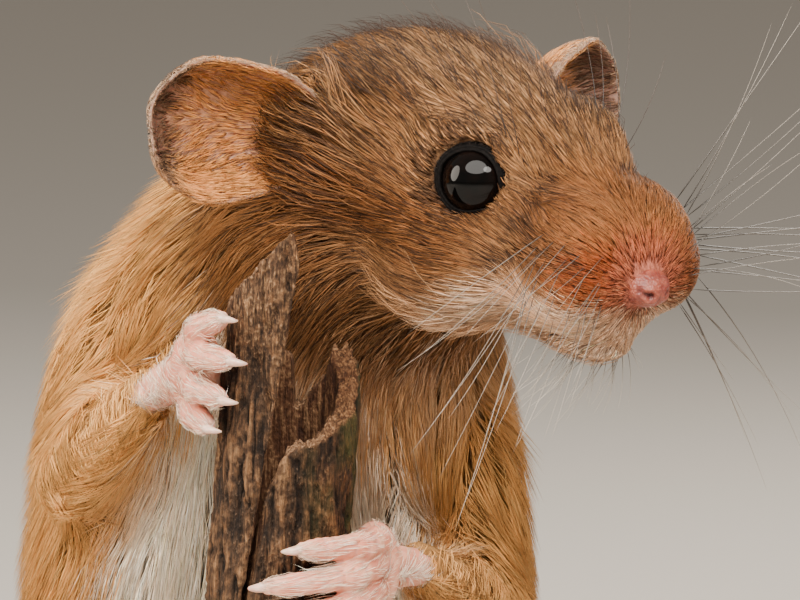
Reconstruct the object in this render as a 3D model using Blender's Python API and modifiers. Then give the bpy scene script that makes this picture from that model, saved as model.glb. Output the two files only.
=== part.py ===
"""A harvest mouse, life size, clinging to a broken dry stem on a plain display stand.

The floor is at Z = 0, the animal hugs the stem from behind (+Y) and looks past it, with
its right side at -X. Tables are in millimetres from the stem; at the end all is moved so
that the origin lies under the middle of the stand, and scaled to metres. The solids give
the outline of the coat, out to the tips of its hairs.
"""

import math

import bmesh
import bpy
from mathutils import Matrix, Vector

# Driving dimensions, in millimetres and degrees
MM = 0.001
GAP = 0.3                        # air kept between touching pieces
EYE_GAP = 0.12
STEM_RADIUS = 3.0
STEM_WALL = 1.0                  # of the hollow, broken top
STEM_FOOT = 11.0                 # the cut foot's height over the floor
STEM_TOP = 66.0
STEM_LEAN = 4.0                  # the top leans to the mouse's left
STEM_UPRIGHT_AT = 53.4           # the height at which the leaning axis crosses X = 0
HEAD_CENTRE = (11.8, 0.3, 67.7)  # midway between the eyes
HEAD_YAW = 41.0                  # turned to the mouse's left
HEAD_PITCH = 17.0                # tipped down
HEAD_ROLL = 4.0                  # left side up
EYE_RADIUS = 1.6
EYE_AT = (-1.2, 3.2, -0.45)      # in the head's frame
EAR_AT = {"left": (-9.9, 10.2, -2.3), "right": (-10.8, -9.6, -1.1)}
EAR_WIDTH = 3.2                  # half of it
EAR_LENGTH = 3.6                 # half of it
FINGER_RADIUS = 0.6
TOE_RADIUS = 0.52
CLAW_RADIUS = 0.27
TAIL_GAP = 0.35
BASE_RADIUS = 24.0
BASE_THICKNESS = 5.0
BASE_CENTRE = (-0.5, 8.5)
BASE_BEVEL = 0.8
ROD_RADIUS = 1.5

RING_SIDES = 20
LIMB_SIDES = 12


# The scene, its materials, and tools for shapes

for old in list(bpy.data.objects):
    bpy.data.objects.remove(old)

parts = bpy.data.collections.new("harvest_mouse")
cutters = bpy.data.collections.new("cutters")
bpy.context.scene.collection.children.link(parts)
bpy.context.scene.collection.children.link(cutters)


def material(name, colour, roughness, metallic=0.0):
    """A Principled material of one colour."""
    made = bpy.data.materials.new(name)
    made.use_nodes = True
    shader = made.node_tree.nodes["Principled BSDF"]
    shader.inputs["Base Color"].default_value = (*colour, 1)
    shader.inputs["Roughness"].default_value = roughness
    shader.inputs["Metallic"].default_value = metallic
    return made


russet_coat = material("russet_coat", (0.42, 0.2, 0.08), 0.8)
tawny_coat = material("tawny_coat", (0.5, 0.3, 0.15), 0.8)
pale_coat = material("pale_coat", (0.75, 0.68, 0.58), 0.8)
pink_skin = material("pink_skin", (0.78, 0.46, 0.4), 0.55)
tail_skin = material("tail_skin", (0.36, 0.24, 0.17), 0.6)
black_eye = material("black_eye", (0.004, 0.004, 0.005), 0.05)
dry_stem = material("dry_stem", (0.23, 0.15, 0.09), 0.85)
painted_stand = material("painted_stand", (0.11, 0.11, 0.12), 0.45)
steel_rod = material("steel_rod", (0.45, 0.45, 0.46), 0.3, 1.0)


def add_object(name, bm, finish=None, collection=parts):
    """An object from a bmesh, with its faces turned outwards."""
    bmesh.ops.recalc_face_normals(bm, faces=bm.faces)
    mesh = bpy.data.meshes.new(name)
    bm.to_mesh(mesh)
    bm.free()
    obj = bpy.data.objects.new(name, mesh)
    collection.objects.link(obj)
    if finish:
        mesh.materials.append(finish)
    return obj


def helper(name, bm):
    """A closed shape that only cuts."""
    obj = add_object(name, bm, collection=cutters)
    obj.hide_render = True
    obj.display_type = "WIRE"
    return obj


def apply_modifiers(obj):
    """Puts the evaluated shape in place of the object's mesh."""
    graph = bpy.context.evaluated_depsgraph_get()
    finish = obj.data.materials[0] if obj.data.materials else None
    made = bpy.data.meshes.new_from_object(obj.evaluated_get(graph))
    obj.modifiers.clear()
    obj.data = made
    made.materials.clear()
    if finish:
        made.materials.append(finish)
    return obj


def boolean(obj, cutter, operation="DIFFERENCE"):
    """Cuts, joins or meets obj with a closed helper."""
    change = obj.modifiers.new(operation.lower(), "BOOLEAN")
    change.operation = operation
    change.object = cutter
    return apply_modifiers(obj)


def keep_largest(obj):
    """Drops all but the largest closed surface of a node."""
    bm = bmesh.new()
    bm.from_mesh(obj.data)
    bmesh.ops.remove_doubles(bm, verts=bm.verts, dist=1e-4)
    left = set(bm.faces)
    shells = []
    while left:
        shell = set()
        edge = [left.pop()]
        while edge:
            face = edge.pop()
            shell.add(face)
            near = {f for e in face.edges for f in e.link_faces} & left
            left -= near
            edge.extend(near)
        shells.append(shell)
    shells.sort(key=lambda shell: sum(f.calc_area() for f in shell))
    loose = [f for shell in shells[:-1] for f in shell]
    bmesh.ops.delete(bm, geom=loose, context="FACES")
    bm.to_mesh(obj.data)
    bm.free()
    return obj


def thin_out(obj, triangles):
    """Decimates a node to about this many triangles."""
    obj.data.calc_loop_triangles()
    had = len(obj.data.loop_triangles)
    if had > triangles:
        fewer = obj.modifiers.new("fewer_faces", "DECIMATE")
        fewer.ratio = triangles / had
        fewer.use_collapse_triangulate = True
        apply_modifiers(obj)
    return obj


def smooth_rows(rows, steps):
    """The rows of a table, with smooth values between them."""
    rows = [Vector(row) for row in rows]
    ends = [2 * rows[0] - rows[1], *rows, 2 * rows[-1] - rows[-2]]
    made = []
    for before, start, end, after in zip(ends, ends[1:], ends[2:], ends[3:]):
        for step in range(steps):
            t = step / steps
            made.append(
                0.5 * (2 * start + (end - before) * t
                       + (2 * before - 5 * start + 4 * end - after) * t ** 2
                       + (3 * start - before - 3 * end + after) * t ** 3)
            )
    made.append(rows[-1])
    return made


def loft(rings):
    """A closed form through rings of the same count of points."""
    bm = bmesh.new()
    made = [[bm.verts.new(point) for point in ring] for ring in rings]
    count = len(made[0])
    for ring, following in zip(made, made[1:]):
        for k in range(count):
            after = (k + 1) % count
            bm.faces.new((ring[k], ring[after], following[after], following[k]))
    bm.faces.new(made[0])
    bm.faces.new(made[-1])
    return bm


def tube(rows, grow=0.0, sides=LIMB_SIDES, steps=2):
    """A round form along rows of (x, y, z, radius), with rounded ends."""
    rows = smooth_rows(rows, steps)
    points = [Vector(row[:3]) for row in rows]
    radii = [row[3] + grow for row in rows]
    for end, inner in ((0, 1), (-1, -2)):
        out = (points[end] - points[inner]).normalized()
        cap = [(points[end] + out * radii[end] * rise, radii[end] * keep)
               for rise, keep in ((0.5, 0.86), (0.87, 0.5), (0.98, 0.2))]
        if end == 0:
            points = [p for p, r in reversed(cap)] + points
            radii = [r for p, r in reversed(cap)] + radii
        else:
            points = points + [p for p, r in cap]
            radii = radii + [r for p, r in cap]
    side = Vector((0.31, 0.17, 0.94))
    rings = []
    last = len(points) - 1
    for k, (point, radius) in enumerate(zip(points, radii)):
        along = (points[min(k + 1, last)] - points[max(k - 1, 0)]).normalized()
        side = (side - along * side.dot(along)).normalized()
        other = along.cross(side)
        turns = [2 * math.pi * j / sides for j in range(sides)]
        rings.append([point + radius * (math.cos(t) * side + math.sin(t) * other)
                      for t in turns])
    return loft(rings)


def ball(centre, radii, turn=Matrix.Identity(3), divisions=3):
    """An ellipsoid."""
    bm = bmesh.new()
    place = Matrix.Translation(Vector(centre)) @ turn.to_4x4() @ Matrix.Diagonal((*radii, 1))
    bmesh.ops.create_icosphere(bm, subdivisions=divisions, radius=1, matrix=place)
    return bm


def hoop(centre, axis, radius, thickness):
    """A closed round ring."""
    bm = bmesh.new()
    turn = Vector(axis).to_track_quat("Z", "Y").to_matrix().to_4x4()
    place = Matrix.Translation(Vector(centre)) @ turn
    across = place @ Matrix.Translation((radius, 0, 0)) @ Matrix.Rotation(math.pi / 2, 4, "X")
    made = bmesh.ops.create_circle(bm, segments=8, radius=thickness, matrix=across)
    edges = list({e for v in made["verts"] for e in v.link_edges})
    bmesh.ops.spin(bm, geom=edges, cent=place.translation, axis=turn.to_3x3().col[2],
                   angle=2 * math.pi, steps=20, use_merge=True)
    bmesh.ops.remove_doubles(bm, verts=bm.verts, dist=1e-4)
    return bm


def slab(point, normal, size=80.0):
    """A large block behind a plane through point; its body lies along normal."""
    bm = bmesh.new()
    turn = Vector(normal).to_track_quat("Z", "Y").to_matrix().to_4x4()
    place = Matrix.Translation(Vector(point)) @ turn @ Matrix.Translation((0, 0, size / 2))
    bmesh.ops.create_cube(bm, size=size, matrix=place)
    return bm


def fuse(name, forms, voxel, rounds, finish, triangles):
    """One closed skin round several overlapping forms, with soft creases."""
    whole = bmesh.new()
    for form in forms:
        bmesh.ops.recalc_face_normals(form, faces=form.faces)
        piece = bpy.data.meshes.new("form")
        form.to_mesh(piece)
        form.free()
        whole.from_mesh(piece)
        bpy.data.meshes.remove(piece)
    obj = add_object(name, whole, finish)
    skin = obj.modifiers.new("skin", "REMESH")
    skin.mode = "VOXEL"
    skin.voxel_size = voxel
    soft = obj.modifiers.new("soft", "SMOOTH")
    soft.factor = 0.5
    soft.iterations = rounds
    return thin_out(keep_largest(apply_modifiers(obj)), triangles)


def swollen(obj, distance):
    """A helper with obj's shape, grown all round."""
    made = bpy.data.objects.new(obj.name + "_clearance", obj.data.copy())
    cutters.objects.link(made)
    made.hide_render = True
    made.display_type = "WIRE"
    swell = made.modifiers.new("swell", "DISPLACE")
    swell.mid_level = 0.0
    swell.strength = distance
    return apply_modifiers(made)


# Places: the head's frame, and the leaning stem's

HEAD_FRAME = (
    Matrix.Translation(Vector(HEAD_CENTRE))
    @ Matrix.Rotation(math.radians(HEAD_YAW - 90), 4, "Z")
    @ Matrix.Rotation(math.radians(HEAD_PITCH), 4, "Y")
    @ Matrix.Rotation(math.radians(HEAD_ROLL), 4, "X")
)
HEAD_TURN = HEAD_FRAME.to_3x3()
LEAN = math.tan(math.radians(STEM_LEAN))


def on_stem(angle, height, away):
    """A point at a distance from the stem's axis; 180 degrees is the mouse's right."""
    turn = math.radians(angle)
    axis = (height - STEM_UPRIGHT_AT) * LEAN
    return Vector((axis + away * math.cos(turn), away * math.sin(turn), height))


def stem_form(radius, foot, top, sides=28):
    """A round length of the leaning stem."""
    return loft([[on_stem(360 * k / sides, height, radius) for k in range(sides)]
                 for height in (foot, top)])


# Head. In its frame X runs to the nose, Y to the mouse's left and Z up.
# Rows: ahead of the eyes, half width, then heights of the top, widest level and base
HEAD_ROWS = (
    (6.6, 0.9, -2.0, -2.8, -3.8),
    (6.0, 2.4, -1.0, -2.9, -5.0),
    (5.0, 3.4, -0.1, -3.0, -6.2),
    (3.4, 4.0, 0.6, -3.1, -6.9),
    (1.6, 4.3, 1.3, -2.8, -7.3),
    (-0.4, 4.8, 2.1, -2.4, -7.7),
    (-3.0, 5.6, 2.8, -2.2, -8.3),
    (-6.0, 6.4, 3.2, -2.2, -8.8),
    (-9.0, 6.9, 3.2, -2.4, -9.0),
    (-12.0, 6.7, 2.4, -2.8, -8.8),
    (-14.5, 5.6, 0.8, -3.2, -7.8),
    (-16.3, 3.4, -1.4, -3.6, -6.0),
)


def head_loft():
    """The head without its cheeks, whisker pads and brows."""
    rings = []
    for ahead, half, top, widest, base in smooth_rows(HEAD_ROWS, 2):
        ring = []
        for k in range(RING_SIDES):
            turn = 2 * math.pi * k / RING_SIDES
            lift = math.sin(turn)
            rise = top - widest if lift > 0 else widest - base
            ring.append(HEAD_FRAME @ Vector((ahead, half * math.cos(turn),
                                             widest + rise * lift)))
        rings.append(ring)
    return loft(rings)


def head_ball(centre, radii, divisions=3):
    """An ellipsoid in the head's frame."""
    return ball(HEAD_FRAME @ Vector(centre), radii, HEAD_TURN, divisions)


def head_tube(rows, grow=0.0, sides=LIMB_SIDES):
    """A round form with its rows in the head's frame."""
    placed = [(*(HEAD_FRAME @ Vector(row[:3])), row[3]) for row in rows]
    return tube(placed, grow, sides)


def mirrored(point, side):
    """The point, or its match on the other side of the head."""
    return (point[0], side * point[1], point[2])


SIDES = (("left", 1), ("right", -1))
PAD_AT = (4.1, 2.2, -3.0)        # the pads that the whiskers grow from
PAD_RADII = (2.6, 2.4, 2.6)

head_forms = [
    head_loft(),
    head_ball((5.7, 0, -2.8), (1.5, 1.5, 1.2)),
    head_ball((3.6, 0, -5.9), (2.6, 2.2, 1.6)),
]
for label, side in SIDES:
    head_forms.append(head_ball(mirrored(PAD_AT, side), PAD_RADII))
    head_forms.append(head_ball((-3.0, side * 3.0, -4.4), (4.8, 3.2, 3.6)))
    head_forms.append(head_ball((3.4, side * 1.7, -1.4), (3.0, 2.3, 2.1)))
    head_forms.append(head_ball((-1.7, side * 2.5, -0.4), (3.0, 2.1, 2.3)))
    head_forms.append(head_ball((-10.6, side * 5.3, -0.9), (2.5, 1.6, 2.7)))
head = fuse("head", head_forms, 0.3, 14, russet_coat, 1250)

# Eyes in their lids
eyes = []
for label, side in SIDES:
    centre = HEAD_FRAME @ Vector(mirrored(EYE_AT, side))
    outward = HEAD_TURN @ Vector((0.34, side * 0.91, 0.24)).normalized()
    rim = helper("lids_" + label, hoop(centre + outward * 0.8, outward, 1.5, 0.32))
    boolean(head, rim, "UNION")
    socket = helper("socket_" + label, ball(centre, [EYE_RADIUS + EYE_GAP] * 3))
    boolean(head, socket)
    eyes.append(add_object("eye_" + label, ball(centre, [EYE_RADIUS] * 3), black_eye))
keep_largest(head)

# Lower jaw, parted from the head along the line of the mouth
JAW = ((3.3, 0, -7.0), (3.3, 2.4, 1.75))
jaw = bpy.data.objects.new("lower_jaw", head.data.copy())
parts.objects.link(jaw)
jaw.data.materials.clear()
jaw.data.materials.append(pale_coat)
boolean(jaw, helper("jaw_shape", head_ball(*JAW)), "INTERSECT")
keep_largest(jaw)
boolean(head, helper("mouth_line", head_ball(JAW[0], [r + GAP for r in JAW[1]])))

# Nose pad with its nostrils, over the cleft lip
NOSE = ((6.5, 0, -3.0), (0.95, 1.02, 0.78))
nose = add_object("nose", head_ball(*NOSE), pink_skin)
boolean(head, helper("nose_seat", head_ball(NOSE[0], [r + 0.2 for r in NOSE[1]])))
for label, side in SIDES:
    rows = ((7.5, side * 0.42, -3.05, 0.22), (6.7, side * 0.75, -3.1, 0.2),
            (6.4, side * 1.25, -2.8, 0.16))
    boolean(nose, helper("nostril_" + label, head_tube(rows, sides=8)))
keep_largest(nose)
cleft = ((7.2, 0, -3.7, 0.16), (6.6, 0, -4.5, 0.18), (5.8, 0, -5.4, 0.18))
boolean(head, helper("lip_cleft", head_tube(cleft, sides=8)))
keep_largest(head)
head_clearance = swollen(head, GAP)

# Whiskers: the main hairs of each fan, from the highest row to the lowest, with their
# roots sunk in the pads. Rows: heading ahead, out and up, then length
WHISKERS = {
    "left": ((-0.3, 0.75, 0.62, 12.5), (0.08, 0.8, 0.6, 14.5), (0.3, 0.9, 0.28, 16.0),
             (0.45, 0.88, 0.05, 16.5), (0.52, 0.83, -0.2, 15.0), (0.4, 0.8, -0.5, 12.0)),
    "right": ((-0.1, 0.8, 0.5, 11.5), (0.25, 0.95, 0.1, 13.5), (0.4, 0.9, -0.25, 14.0),
              (0.5, 0.75, -0.5, 13.0), (0.2, 0.7, -0.7, 11.0), (-0.25, 0.75, -0.6, 10.0)),
}
# Share of the length, and radius there
WHISKER_ROWS = ((0.0, 0.26), (0.35, 0.23), (0.7, 0.17), (1.0, 0.09))
WHISKER_SIDES = 5
WHISKER_SAG = 0.12
for label, side in SIDES:
    for number, (ahead, out, up, length) in enumerate(WHISKERS[label], start=1):
        heading = Vector((ahead, side * out, up)).normalized()
        root = Vector(mirrored(PAD_AT, side)) + Vector(
            [0.7 * radius * step for radius, step in zip(PAD_RADII, heading)])
        across = heading.cross(Vector((0, 0, 1))).normalized()
        above = across.cross(heading)
        rings = []
        for share, radius in WHISKER_ROWS:
            middle = root + heading * length * share
            middle.z -= WHISKER_SAG * length * share ** 2
            turns = [2 * math.pi * k / WHISKER_SIDES for k in range(WHISKER_SIDES)]
            rings.append([HEAD_FRAME @ (middle + radius * (math.cos(t) * across
                                                           + math.sin(t) * above))
                          for t in turns])
        boolean(head, helper("whisker_%s_%d" % (label, number), loft(rings)), "UNION")
keep_largest(head)


# Ears: shallow cups, held out from the head and open to the front.
# Rows: share of the half size, and depth behind the rim
EAR_ROWS = ((0.04, 2.25), (0.45, 2.1), (0.78, 1.45), (0.96, 0.5), (1.0, 0.0), (0.92, -0.18),
            (0.84, 0.2), (0.66, 0.95), (0.4, 1.5), (0.04, 1.7))
ears = []
for label, side in SIDES:
    out = Vector((-0.34, side * 0.93, 0.1)).normalized()
    face = Vector((0.86, side * 0.45, 0.12))
    face = (face - out * face.dot(out)).normalized()
    across = face.cross(out)
    rings = []
    for share, depth in EAR_ROWS:
        ring = []
        for k in range(RING_SIDES):
            turn = 2 * math.pi * k / RING_SIDES
            reach = EAR_LENGTH if math.cos(turn) > 0 else EAR_LENGTH * 1.35
            point = (Vector(EAR_AT[label]) - face * depth
                     + out * share * reach * math.cos(turn)
                     + across * share * EAR_WIDTH * math.sin(turn))
            ring.append(HEAD_FRAME @ point)
        rings.append(ring)
    ear = add_object("ear_" + label, loft(rings), tawny_coat)
    boolean(ear, head_clearance)
    ears.append(keep_largest(ear))


# Neck and trunk. Trunk rows: height, centre x and y, half width, half depth
NECK_ROWS = ((5.4, 8.0, 65.5, 7.2), (3.0, 10.5, 63.5, 7.7), (1.2, 12.3, 60.5, 7.9))
TRUNK_ROWS = (
    (70.2, 2.2, 12.2, 3.0, 2.6),
    (68.8, 1.8, 12.3, 5.4, 4.4),
    (66.0, 1.2, 12.5, 7.5, 6.2),
    (63.0, 0.5, 12.8, 9.1, 7.6),
    (59.5, 0.0, 13.2, 10.3, 8.8),
    (55.5, -0.4, 13.8, 11.1, 9.4),
    (51.0, -0.7, 14.2, 11.5, 9.9),
    (46.0, -0.8, 14.7, 11.8, 10.3),
    (41.0, -0.8, 15.0, 11.7, 10.3),
    (36.5, -0.7, 15.0, 10.7, 9.6),
    (32.5, -0.5, 14.9, 8.6, 8.0),
    (29.5, -0.3, 14.7, 5.6, 5.4),
    (28.0, -0.2, 14.6, 2.6, 2.5),
)

# Limbs. Rows: x, y, z, radius
LIMBS = {
    "upper_arm_right": ((-6.0, 12.0, 61.0, 3.0), (-7.9, 10.0, 58.0, 3.1),
                        (-9.0, 8.0, 54.8, 2.5)),
    "upper_arm_left": ((6.4, 12.4, 56.6, 3.0), (7.9, 10.4, 53.2, 3.1),
                       (8.9, 8.4, 48.8, 2.5)),
    "forearm_right": ((-9.2, 7.0, 53.4, 2.1), (-8.0, 5.4, 55.2, 1.95),
                      (-6.5, 4.0, 57.2, 1.5), (-5.9, 3.4, 58.0, 1.25)),
    "forearm_left": ((8.9, 7.2, 46.9, 2.1), (7.8, 5.6, 48.3, 1.95),
                     (6.4, 4.0, 49.8, 1.5), (5.8, 3.4, 50.4, 1.25)),
    "thigh_right": ((-6.7, 17.2, 37.0, 5.6), (-8.5, 12.8, 39.0, 5.5),
                    (-10.4, 8.6, 41.4, 4.2), (-10.9, 7.2, 42.3, 3.4)),
    "thigh_left": ((5.5, 17.2, 35.2, 5.6), (7.3, 12.8, 36.8, 5.5),
                   (9.3, 8.6, 38.4, 4.2), (9.8, 7.2, 39.2, 3.4)),
    "shank_right": ((-11.2, 6.6, 41.4, 2.6), (-11.0, 7.6, 38.2, 2.0),
                    (-10.1, 8.8, 34.8, 1.45), (-9.4, 9.6, 32.6, 1.2)),
    "shank_left": ((10.0, 6.6, 38.2, 2.6), (9.9, 7.6, 35.0, 2.0),
                   (9.0, 8.8, 31.4, 1.45), (8.3, 9.6, 29.2, 1.2)),
}
SHORTENED_BY = {
    "forearm_right": ("upper_arm_right",),
    "forearm_left": ("upper_arm_left",),
    "shank_right": ("thigh_right",),
    "shank_left": ("thigh_left",),
}


def clear_of(obj, name):
    """Cuts a limb's form and its clearance out of a neighbour."""
    boolean(obj, helper(name + "_room", tube(LIMBS[name], GAP)))


limbs = {}
for name, rows in LIMBS.items():
    limb = add_object(name, tube(rows), tawny_coat)
    for above in SHORTENED_BY.get(name, ()):
        clear_of(limb, above)
    limbs[name] = keep_largest(limb)

neck = add_object("neck", tube(NECK_ROWS, sides=RING_SIDES), tawny_coat)
boolean(neck, head_clearance)
for ear in ears:
    boolean(neck, swollen(ear, GAP))
trunk_rings = []
for height, x, y, half, deep in smooth_rows(TRUNK_ROWS, 2):
    turns = [2 * math.pi * k / 24 for k in range(24)]
    trunk_rings.append([Vector((x + half * math.cos(t), y + deep * math.sin(t), height))
                        for t in turns])
torso = add_object("torso", loft(trunk_rings), tawny_coat)
boolean(torso, head_clearance)
boolean(torso, helper("neck_room", tube(NECK_ROWS, GAP, sides=RING_SIDES)))
for name in LIMBS:
    clear_of(torso, name)
for name in ("upper_arm_right", "upper_arm_left"):
    clear_of(neck, name)
keep_largest(neck)
keep_largest(torso)


# Hands and feet, their digits closed round the stem.
# Digit rows: angle and height at the root, angle and height at the tip
PAWS = {
    "hand_right": {
        "limb": "forearm_right", "reach": ((-6.5, 4.0, 57.2, 1.2),), "digit": FINGER_RADIUS,
        "pad": (1.1, 1.5, 1.95),
        "palm": (163, 58.8), "digits": ((176, 60.5, 216, 61.5), (176, 59.8, 226, 59.7),
                                        (176, 58.6, 221, 58.0), (174, 57.5, 208, 56.7)),
    },
    "hand_left": {
        "limb": "forearm_left", "reach": ((6.4, 4.0, 49.8, 1.2),), "digit": FINGER_RADIUS,
        "pad": (1.1, 1.5, 1.95),
        "palm": (17, 50.3), "digits": ((4, 51.6, -76, 51.7), (4, 50.7, -96, 50.1),
                                       (4, 49.6, -92, 48.6), (6, 48.6, -70, 47.3)),
    },
    "foot_right": {
        "limb": "shank_right", "digit": TOE_RADIUS, "palm": (160, 36.9),
        "pad": (0.95, 1.3, 2.0),
        "reach": ((-9.3, 9.9, 31.9, 1.15), (-8.5, 8.2, 33.0, 1.2), (-7.1, 5.4, 34.9, 1.1)),
        "digits": ((164, 38.0, 205, 39.8), (168, 37.5, 232, 38.5), (168, 36.8, 240, 37.0),
                   (168, 36.0, 232, 35.5), (164, 35.4, 204, 34.2)),
    },
    "foot_left": {
        "limb": "shank_left", "digit": TOE_RADIUS, "palm": (20, 33.5),
        "pad": (0.95, 1.3, 2.0),
        "reach": ((8.2, 9.9, 28.5, 1.15), (7.4, 8.2, 29.7, 1.2), (5.7, 5.4, 31.6, 1.1)),
        "digits": ((16, 34.6, -25, 36.4), (12, 34.1, -52, 35.1), (12, 33.4, -60, 33.6),
                   (12, 32.6, -52, 32.1), (16, 32.0, -24, 30.8)),
    },
}
PADS_AWAY = STEM_RADIUS + GAP + 0.05


def digit(root, tip, radius):
    """A digit laid round the stem, swollen at its pad, and its claw."""
    rows = []
    for share, away, width in ((0.0, 1.15, 1.0), (0.3, 1.35, 0.98), (0.55, 1.15, 1.04),
                               (0.8, 1.0, 0.98), (1.0, 1.0, 0.95)):
        angle = root[0] + (tip[0] - root[0]) * share
        height = root[1] + (tip[1] - root[1]) * share
        place = on_stem(angle, height, PADS_AWAY + radius * away)
        rows.append((*place, radius * width))
    turn = 1 if tip[0] > root[0] else -1
    claw = []
    for on, away, thick in ((-4, 1.45, 1.0), (9, 1.35, 1.0), (20, 0.85, 0.96)):
        place = on_stem(tip[0] + turn * on, tip[1], PADS_AWAY + radius * away)
        claw.append((*place, CLAW_RADIUS * thick))
    return [tube(rows, sides=10), tube(claw, sides=8)]


stem_room = helper("stem_room", stem_form(STEM_RADIUS + GAP, STEM_FOOT - 5, STEM_TOP + 5))
for name, paw in PAWS.items():
    angle, height = paw["palm"]
    palm = on_stem(angle, height, PADS_AWAY + paw["pad"][0] * 0.9)
    spread = Matrix.Rotation(math.radians(angle), 3, "Z")
    forms = [ball(palm, paw["pad"], spread), tube((*paw["reach"], (*palm, 1.1)))]
    for base_angle, base_height, tip_angle, tip_height in paw["digits"]:
        forms += digit((base_angle, base_height), (tip_angle, tip_height), paw["digit"])
    node = fuse(name, forms, 0.16, 1, pink_skin, 760)
    boolean(node, stem_room)
    clear_of(node, paw["limb"])
    keep_largest(node)
    boolean(torso, helper(name + "_room", tube((*paw["reach"], (*palm, 1.1)), GAP)))
keep_largest(torso)


# Tail: down from the rump, then wound round the stem under the feet
TAIL_HANG = ((-0.3, 17.4, 29.4, 1.5), (-0.2, 19.6, 26.6, 1.2), (1.4, 19.6, 24.0, 1.08),
             (4.0, 16.6, 22.6, 1.0), (5.6, 11.8, 22.0, 0.95), (5.9, 7.4, 21.7, 0.9),
             (5.1, 3.4, 21.4, 0.87))
TAIL_TURNS = 1.55
TAIL_PITCH = 2.7
tail_rows = list(TAIL_HANG)
for step in range(1, 23):
    share = step / 22
    radius = 0.86 - 0.5 * share ** 1.3
    angle = 14 - 360 * TAIL_TURNS * share
    height = 21.2 - TAIL_PITCH * TAIL_TURNS * share
    point = on_stem(angle, height, STEM_RADIUS + TAIL_GAP + radius)
    tail_rows.append((*point, radius))
tail_rows = [tuple(row) for row in smooth_rows(tail_rows, 2)]


def tail_length(first, last, grow=0.0):
    """A length of the tail with flat ends."""
    points = [Vector(row[:3]) for row in tail_rows]
    side = Vector((0.31, 0.17, 0.94))
    rings = []
    for k in range(first, last + 1):
        along = (points[min(k + 1, len(points) - 1)] - points[max(k - 1, 0)]).normalized()
        side = (side - along * side.dot(along)).normalized()
        other = along.cross(side)
        radius = tail_rows[k][3] + grow
        at = points[k]
        if k == last and last < len(points) - 1:
            at = at - along * GAP
        turns = [2 * math.pi * j / 10 for j in range(10)]
        rings.append([at + radius * (math.cos(t) * side + math.sin(t) * other)
                      for t in turns])
    return loft(rings)


TAIL_CUTS = (0, 8, 18, 30, 42, len(tail_rows) - 1)
for number, (first, last) in enumerate(zip(TAIL_CUTS, TAIL_CUTS[1:]), start=1):
    add_object("tail_%d" % number, tail_length(first, last), tail_skin)
boolean(torso, helper("tail_room", tail_length(0, 8, GAP)))
keep_largest(torso)


# The broken stem: whole below, hollow and torn open above
stem = add_object("stem", stem_form(STEM_RADIUS, STEM_FOOT, STEM_TOP), dry_stem)
boolean(stem, helper("stem_bore", stem_form(STEM_RADIUS - STEM_WALL, 50.5, STEM_TOP + 5, 20)))
shard = bpy.data.objects.new("stem_shard", stem.data.copy())
parts.objects.link(shard)

# The tall shard stands to the mouse's right of the crack, and the curl to its left
CRACK_POINT = (-1.05, -3.0, 52.2)
CRACK_FACE = Vector((1.0, 0.12, -0.17)).normalized()
crack = Vector(CRACK_POINT)
boolean(shard, helper("shard_side", slab(crack - CRACK_FACE * GAP / 2, CRACK_FACE)))
boolean(shard, helper("shard_foot", slab((0, 0, 48.6 + GAP), (0, 0, -1))))
boolean(shard, helper("shard_tear", slab((0.3, -1.0, 64.7), (-1.0, 0.3, 1.0))))
boolean(shard, helper("shard_slope", slab((0.95, -2.0, 63.0), (1.0, 0.0, 0.2))))
boolean(shard, helper("shard_back", slab((0.0, 1.2, 60.0), (0.2, 1.0, 0.45))))
keep_largest(shard)
shard_room = helper("shard_room", slab(crack + CRACK_FACE * GAP / 2, -CRACK_FACE))
boolean(shard_room, helper("shard_level", slab((0, 0, 48.6), (0, 0, -1), 120)))
boolean(stem, shard_room)
notch = helper("notch", slab((-0.1, -3.0, 55.1), (-1.0, 0.0, 0.47)))
boolean(notch, helper("notch_depth", slab((0, 0.3, 50.0), (0, 1, 0), 200)))
boolean(stem, notch)
# The torn rim of the curl: low in front, a point at its right and back, and low again
# beside the piece of the far wall that still stands. Rows: angle and height
CURL_RIM = ((255, 55.3), (276, 56.0), (298, 56.2), (318, 56.8), (345, 57.4), (362, 58.2),
            (378, 59.2), (396, 59.9), (406, 58.6), (422, 58.0), (434, 57.3), (444, 57.0),
            (450, 59.2), (461, 59.8), (490, 59.8), (540, 58.0), (580, 56.0))
rim = [[], []]
for (angle, height), (after, next_height) in zip(CURL_RIM, CURL_RIM[1:] + ((615, 55.3),)):
    for share in (0.0, 0.5):
        turn = angle + (after - angle) * share
        level = height + (next_height - height) * share
        for ring, away in zip(rim, (0.6, 6.0)):
            ring.append(on_stem(turn, level, away))
lid = [[Vector((*point.xy, 75.0)) for point in ring] for ring in reversed(rim)]
boolean(stem, helper("curl_tear", loft([*rim, *lid])))
keep_largest(stem)


# The stand: a round base and one rod up into the stem
base = bmesh.new()
bmesh.ops.create_cone(
    base, segments=64, radius1=BASE_RADIUS, radius2=BASE_RADIUS, depth=BASE_THICKNESS,
    cap_ends=True, matrix=Matrix.Translation((*BASE_CENTRE, BASE_THICKNESS / 2)))
top_rim = [e for e in base.edges if min(v.co.z for v in e.verts) > BASE_THICKNESS - 0.01]
bmesh.ops.bevel(base, geom=top_rim, offset=BASE_BEVEL, segments=3, profile=0.5,
                affect="EDGES")
stand_base = add_object("stand_base", base, painted_stand)

ROD_IN_STEM = 6.0
ROD_IN_BASE = 3.0
rod_rows = (BASE_THICKNESS - ROD_IN_BASE, STEM_FOOT + ROD_IN_STEM)
stand_rod = add_object("stand_rod", stem_form(ROD_RADIUS, *rod_rows, 16), steel_rod)
rod_seat = helper("rod_seat", stem_form(ROD_RADIUS + 0.1, rod_rows[0] - 0.1,
                                        rod_rows[1] + 0.1, 16))
boolean(stem, rod_seat)
boolean(stand_base, rod_seat)


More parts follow.
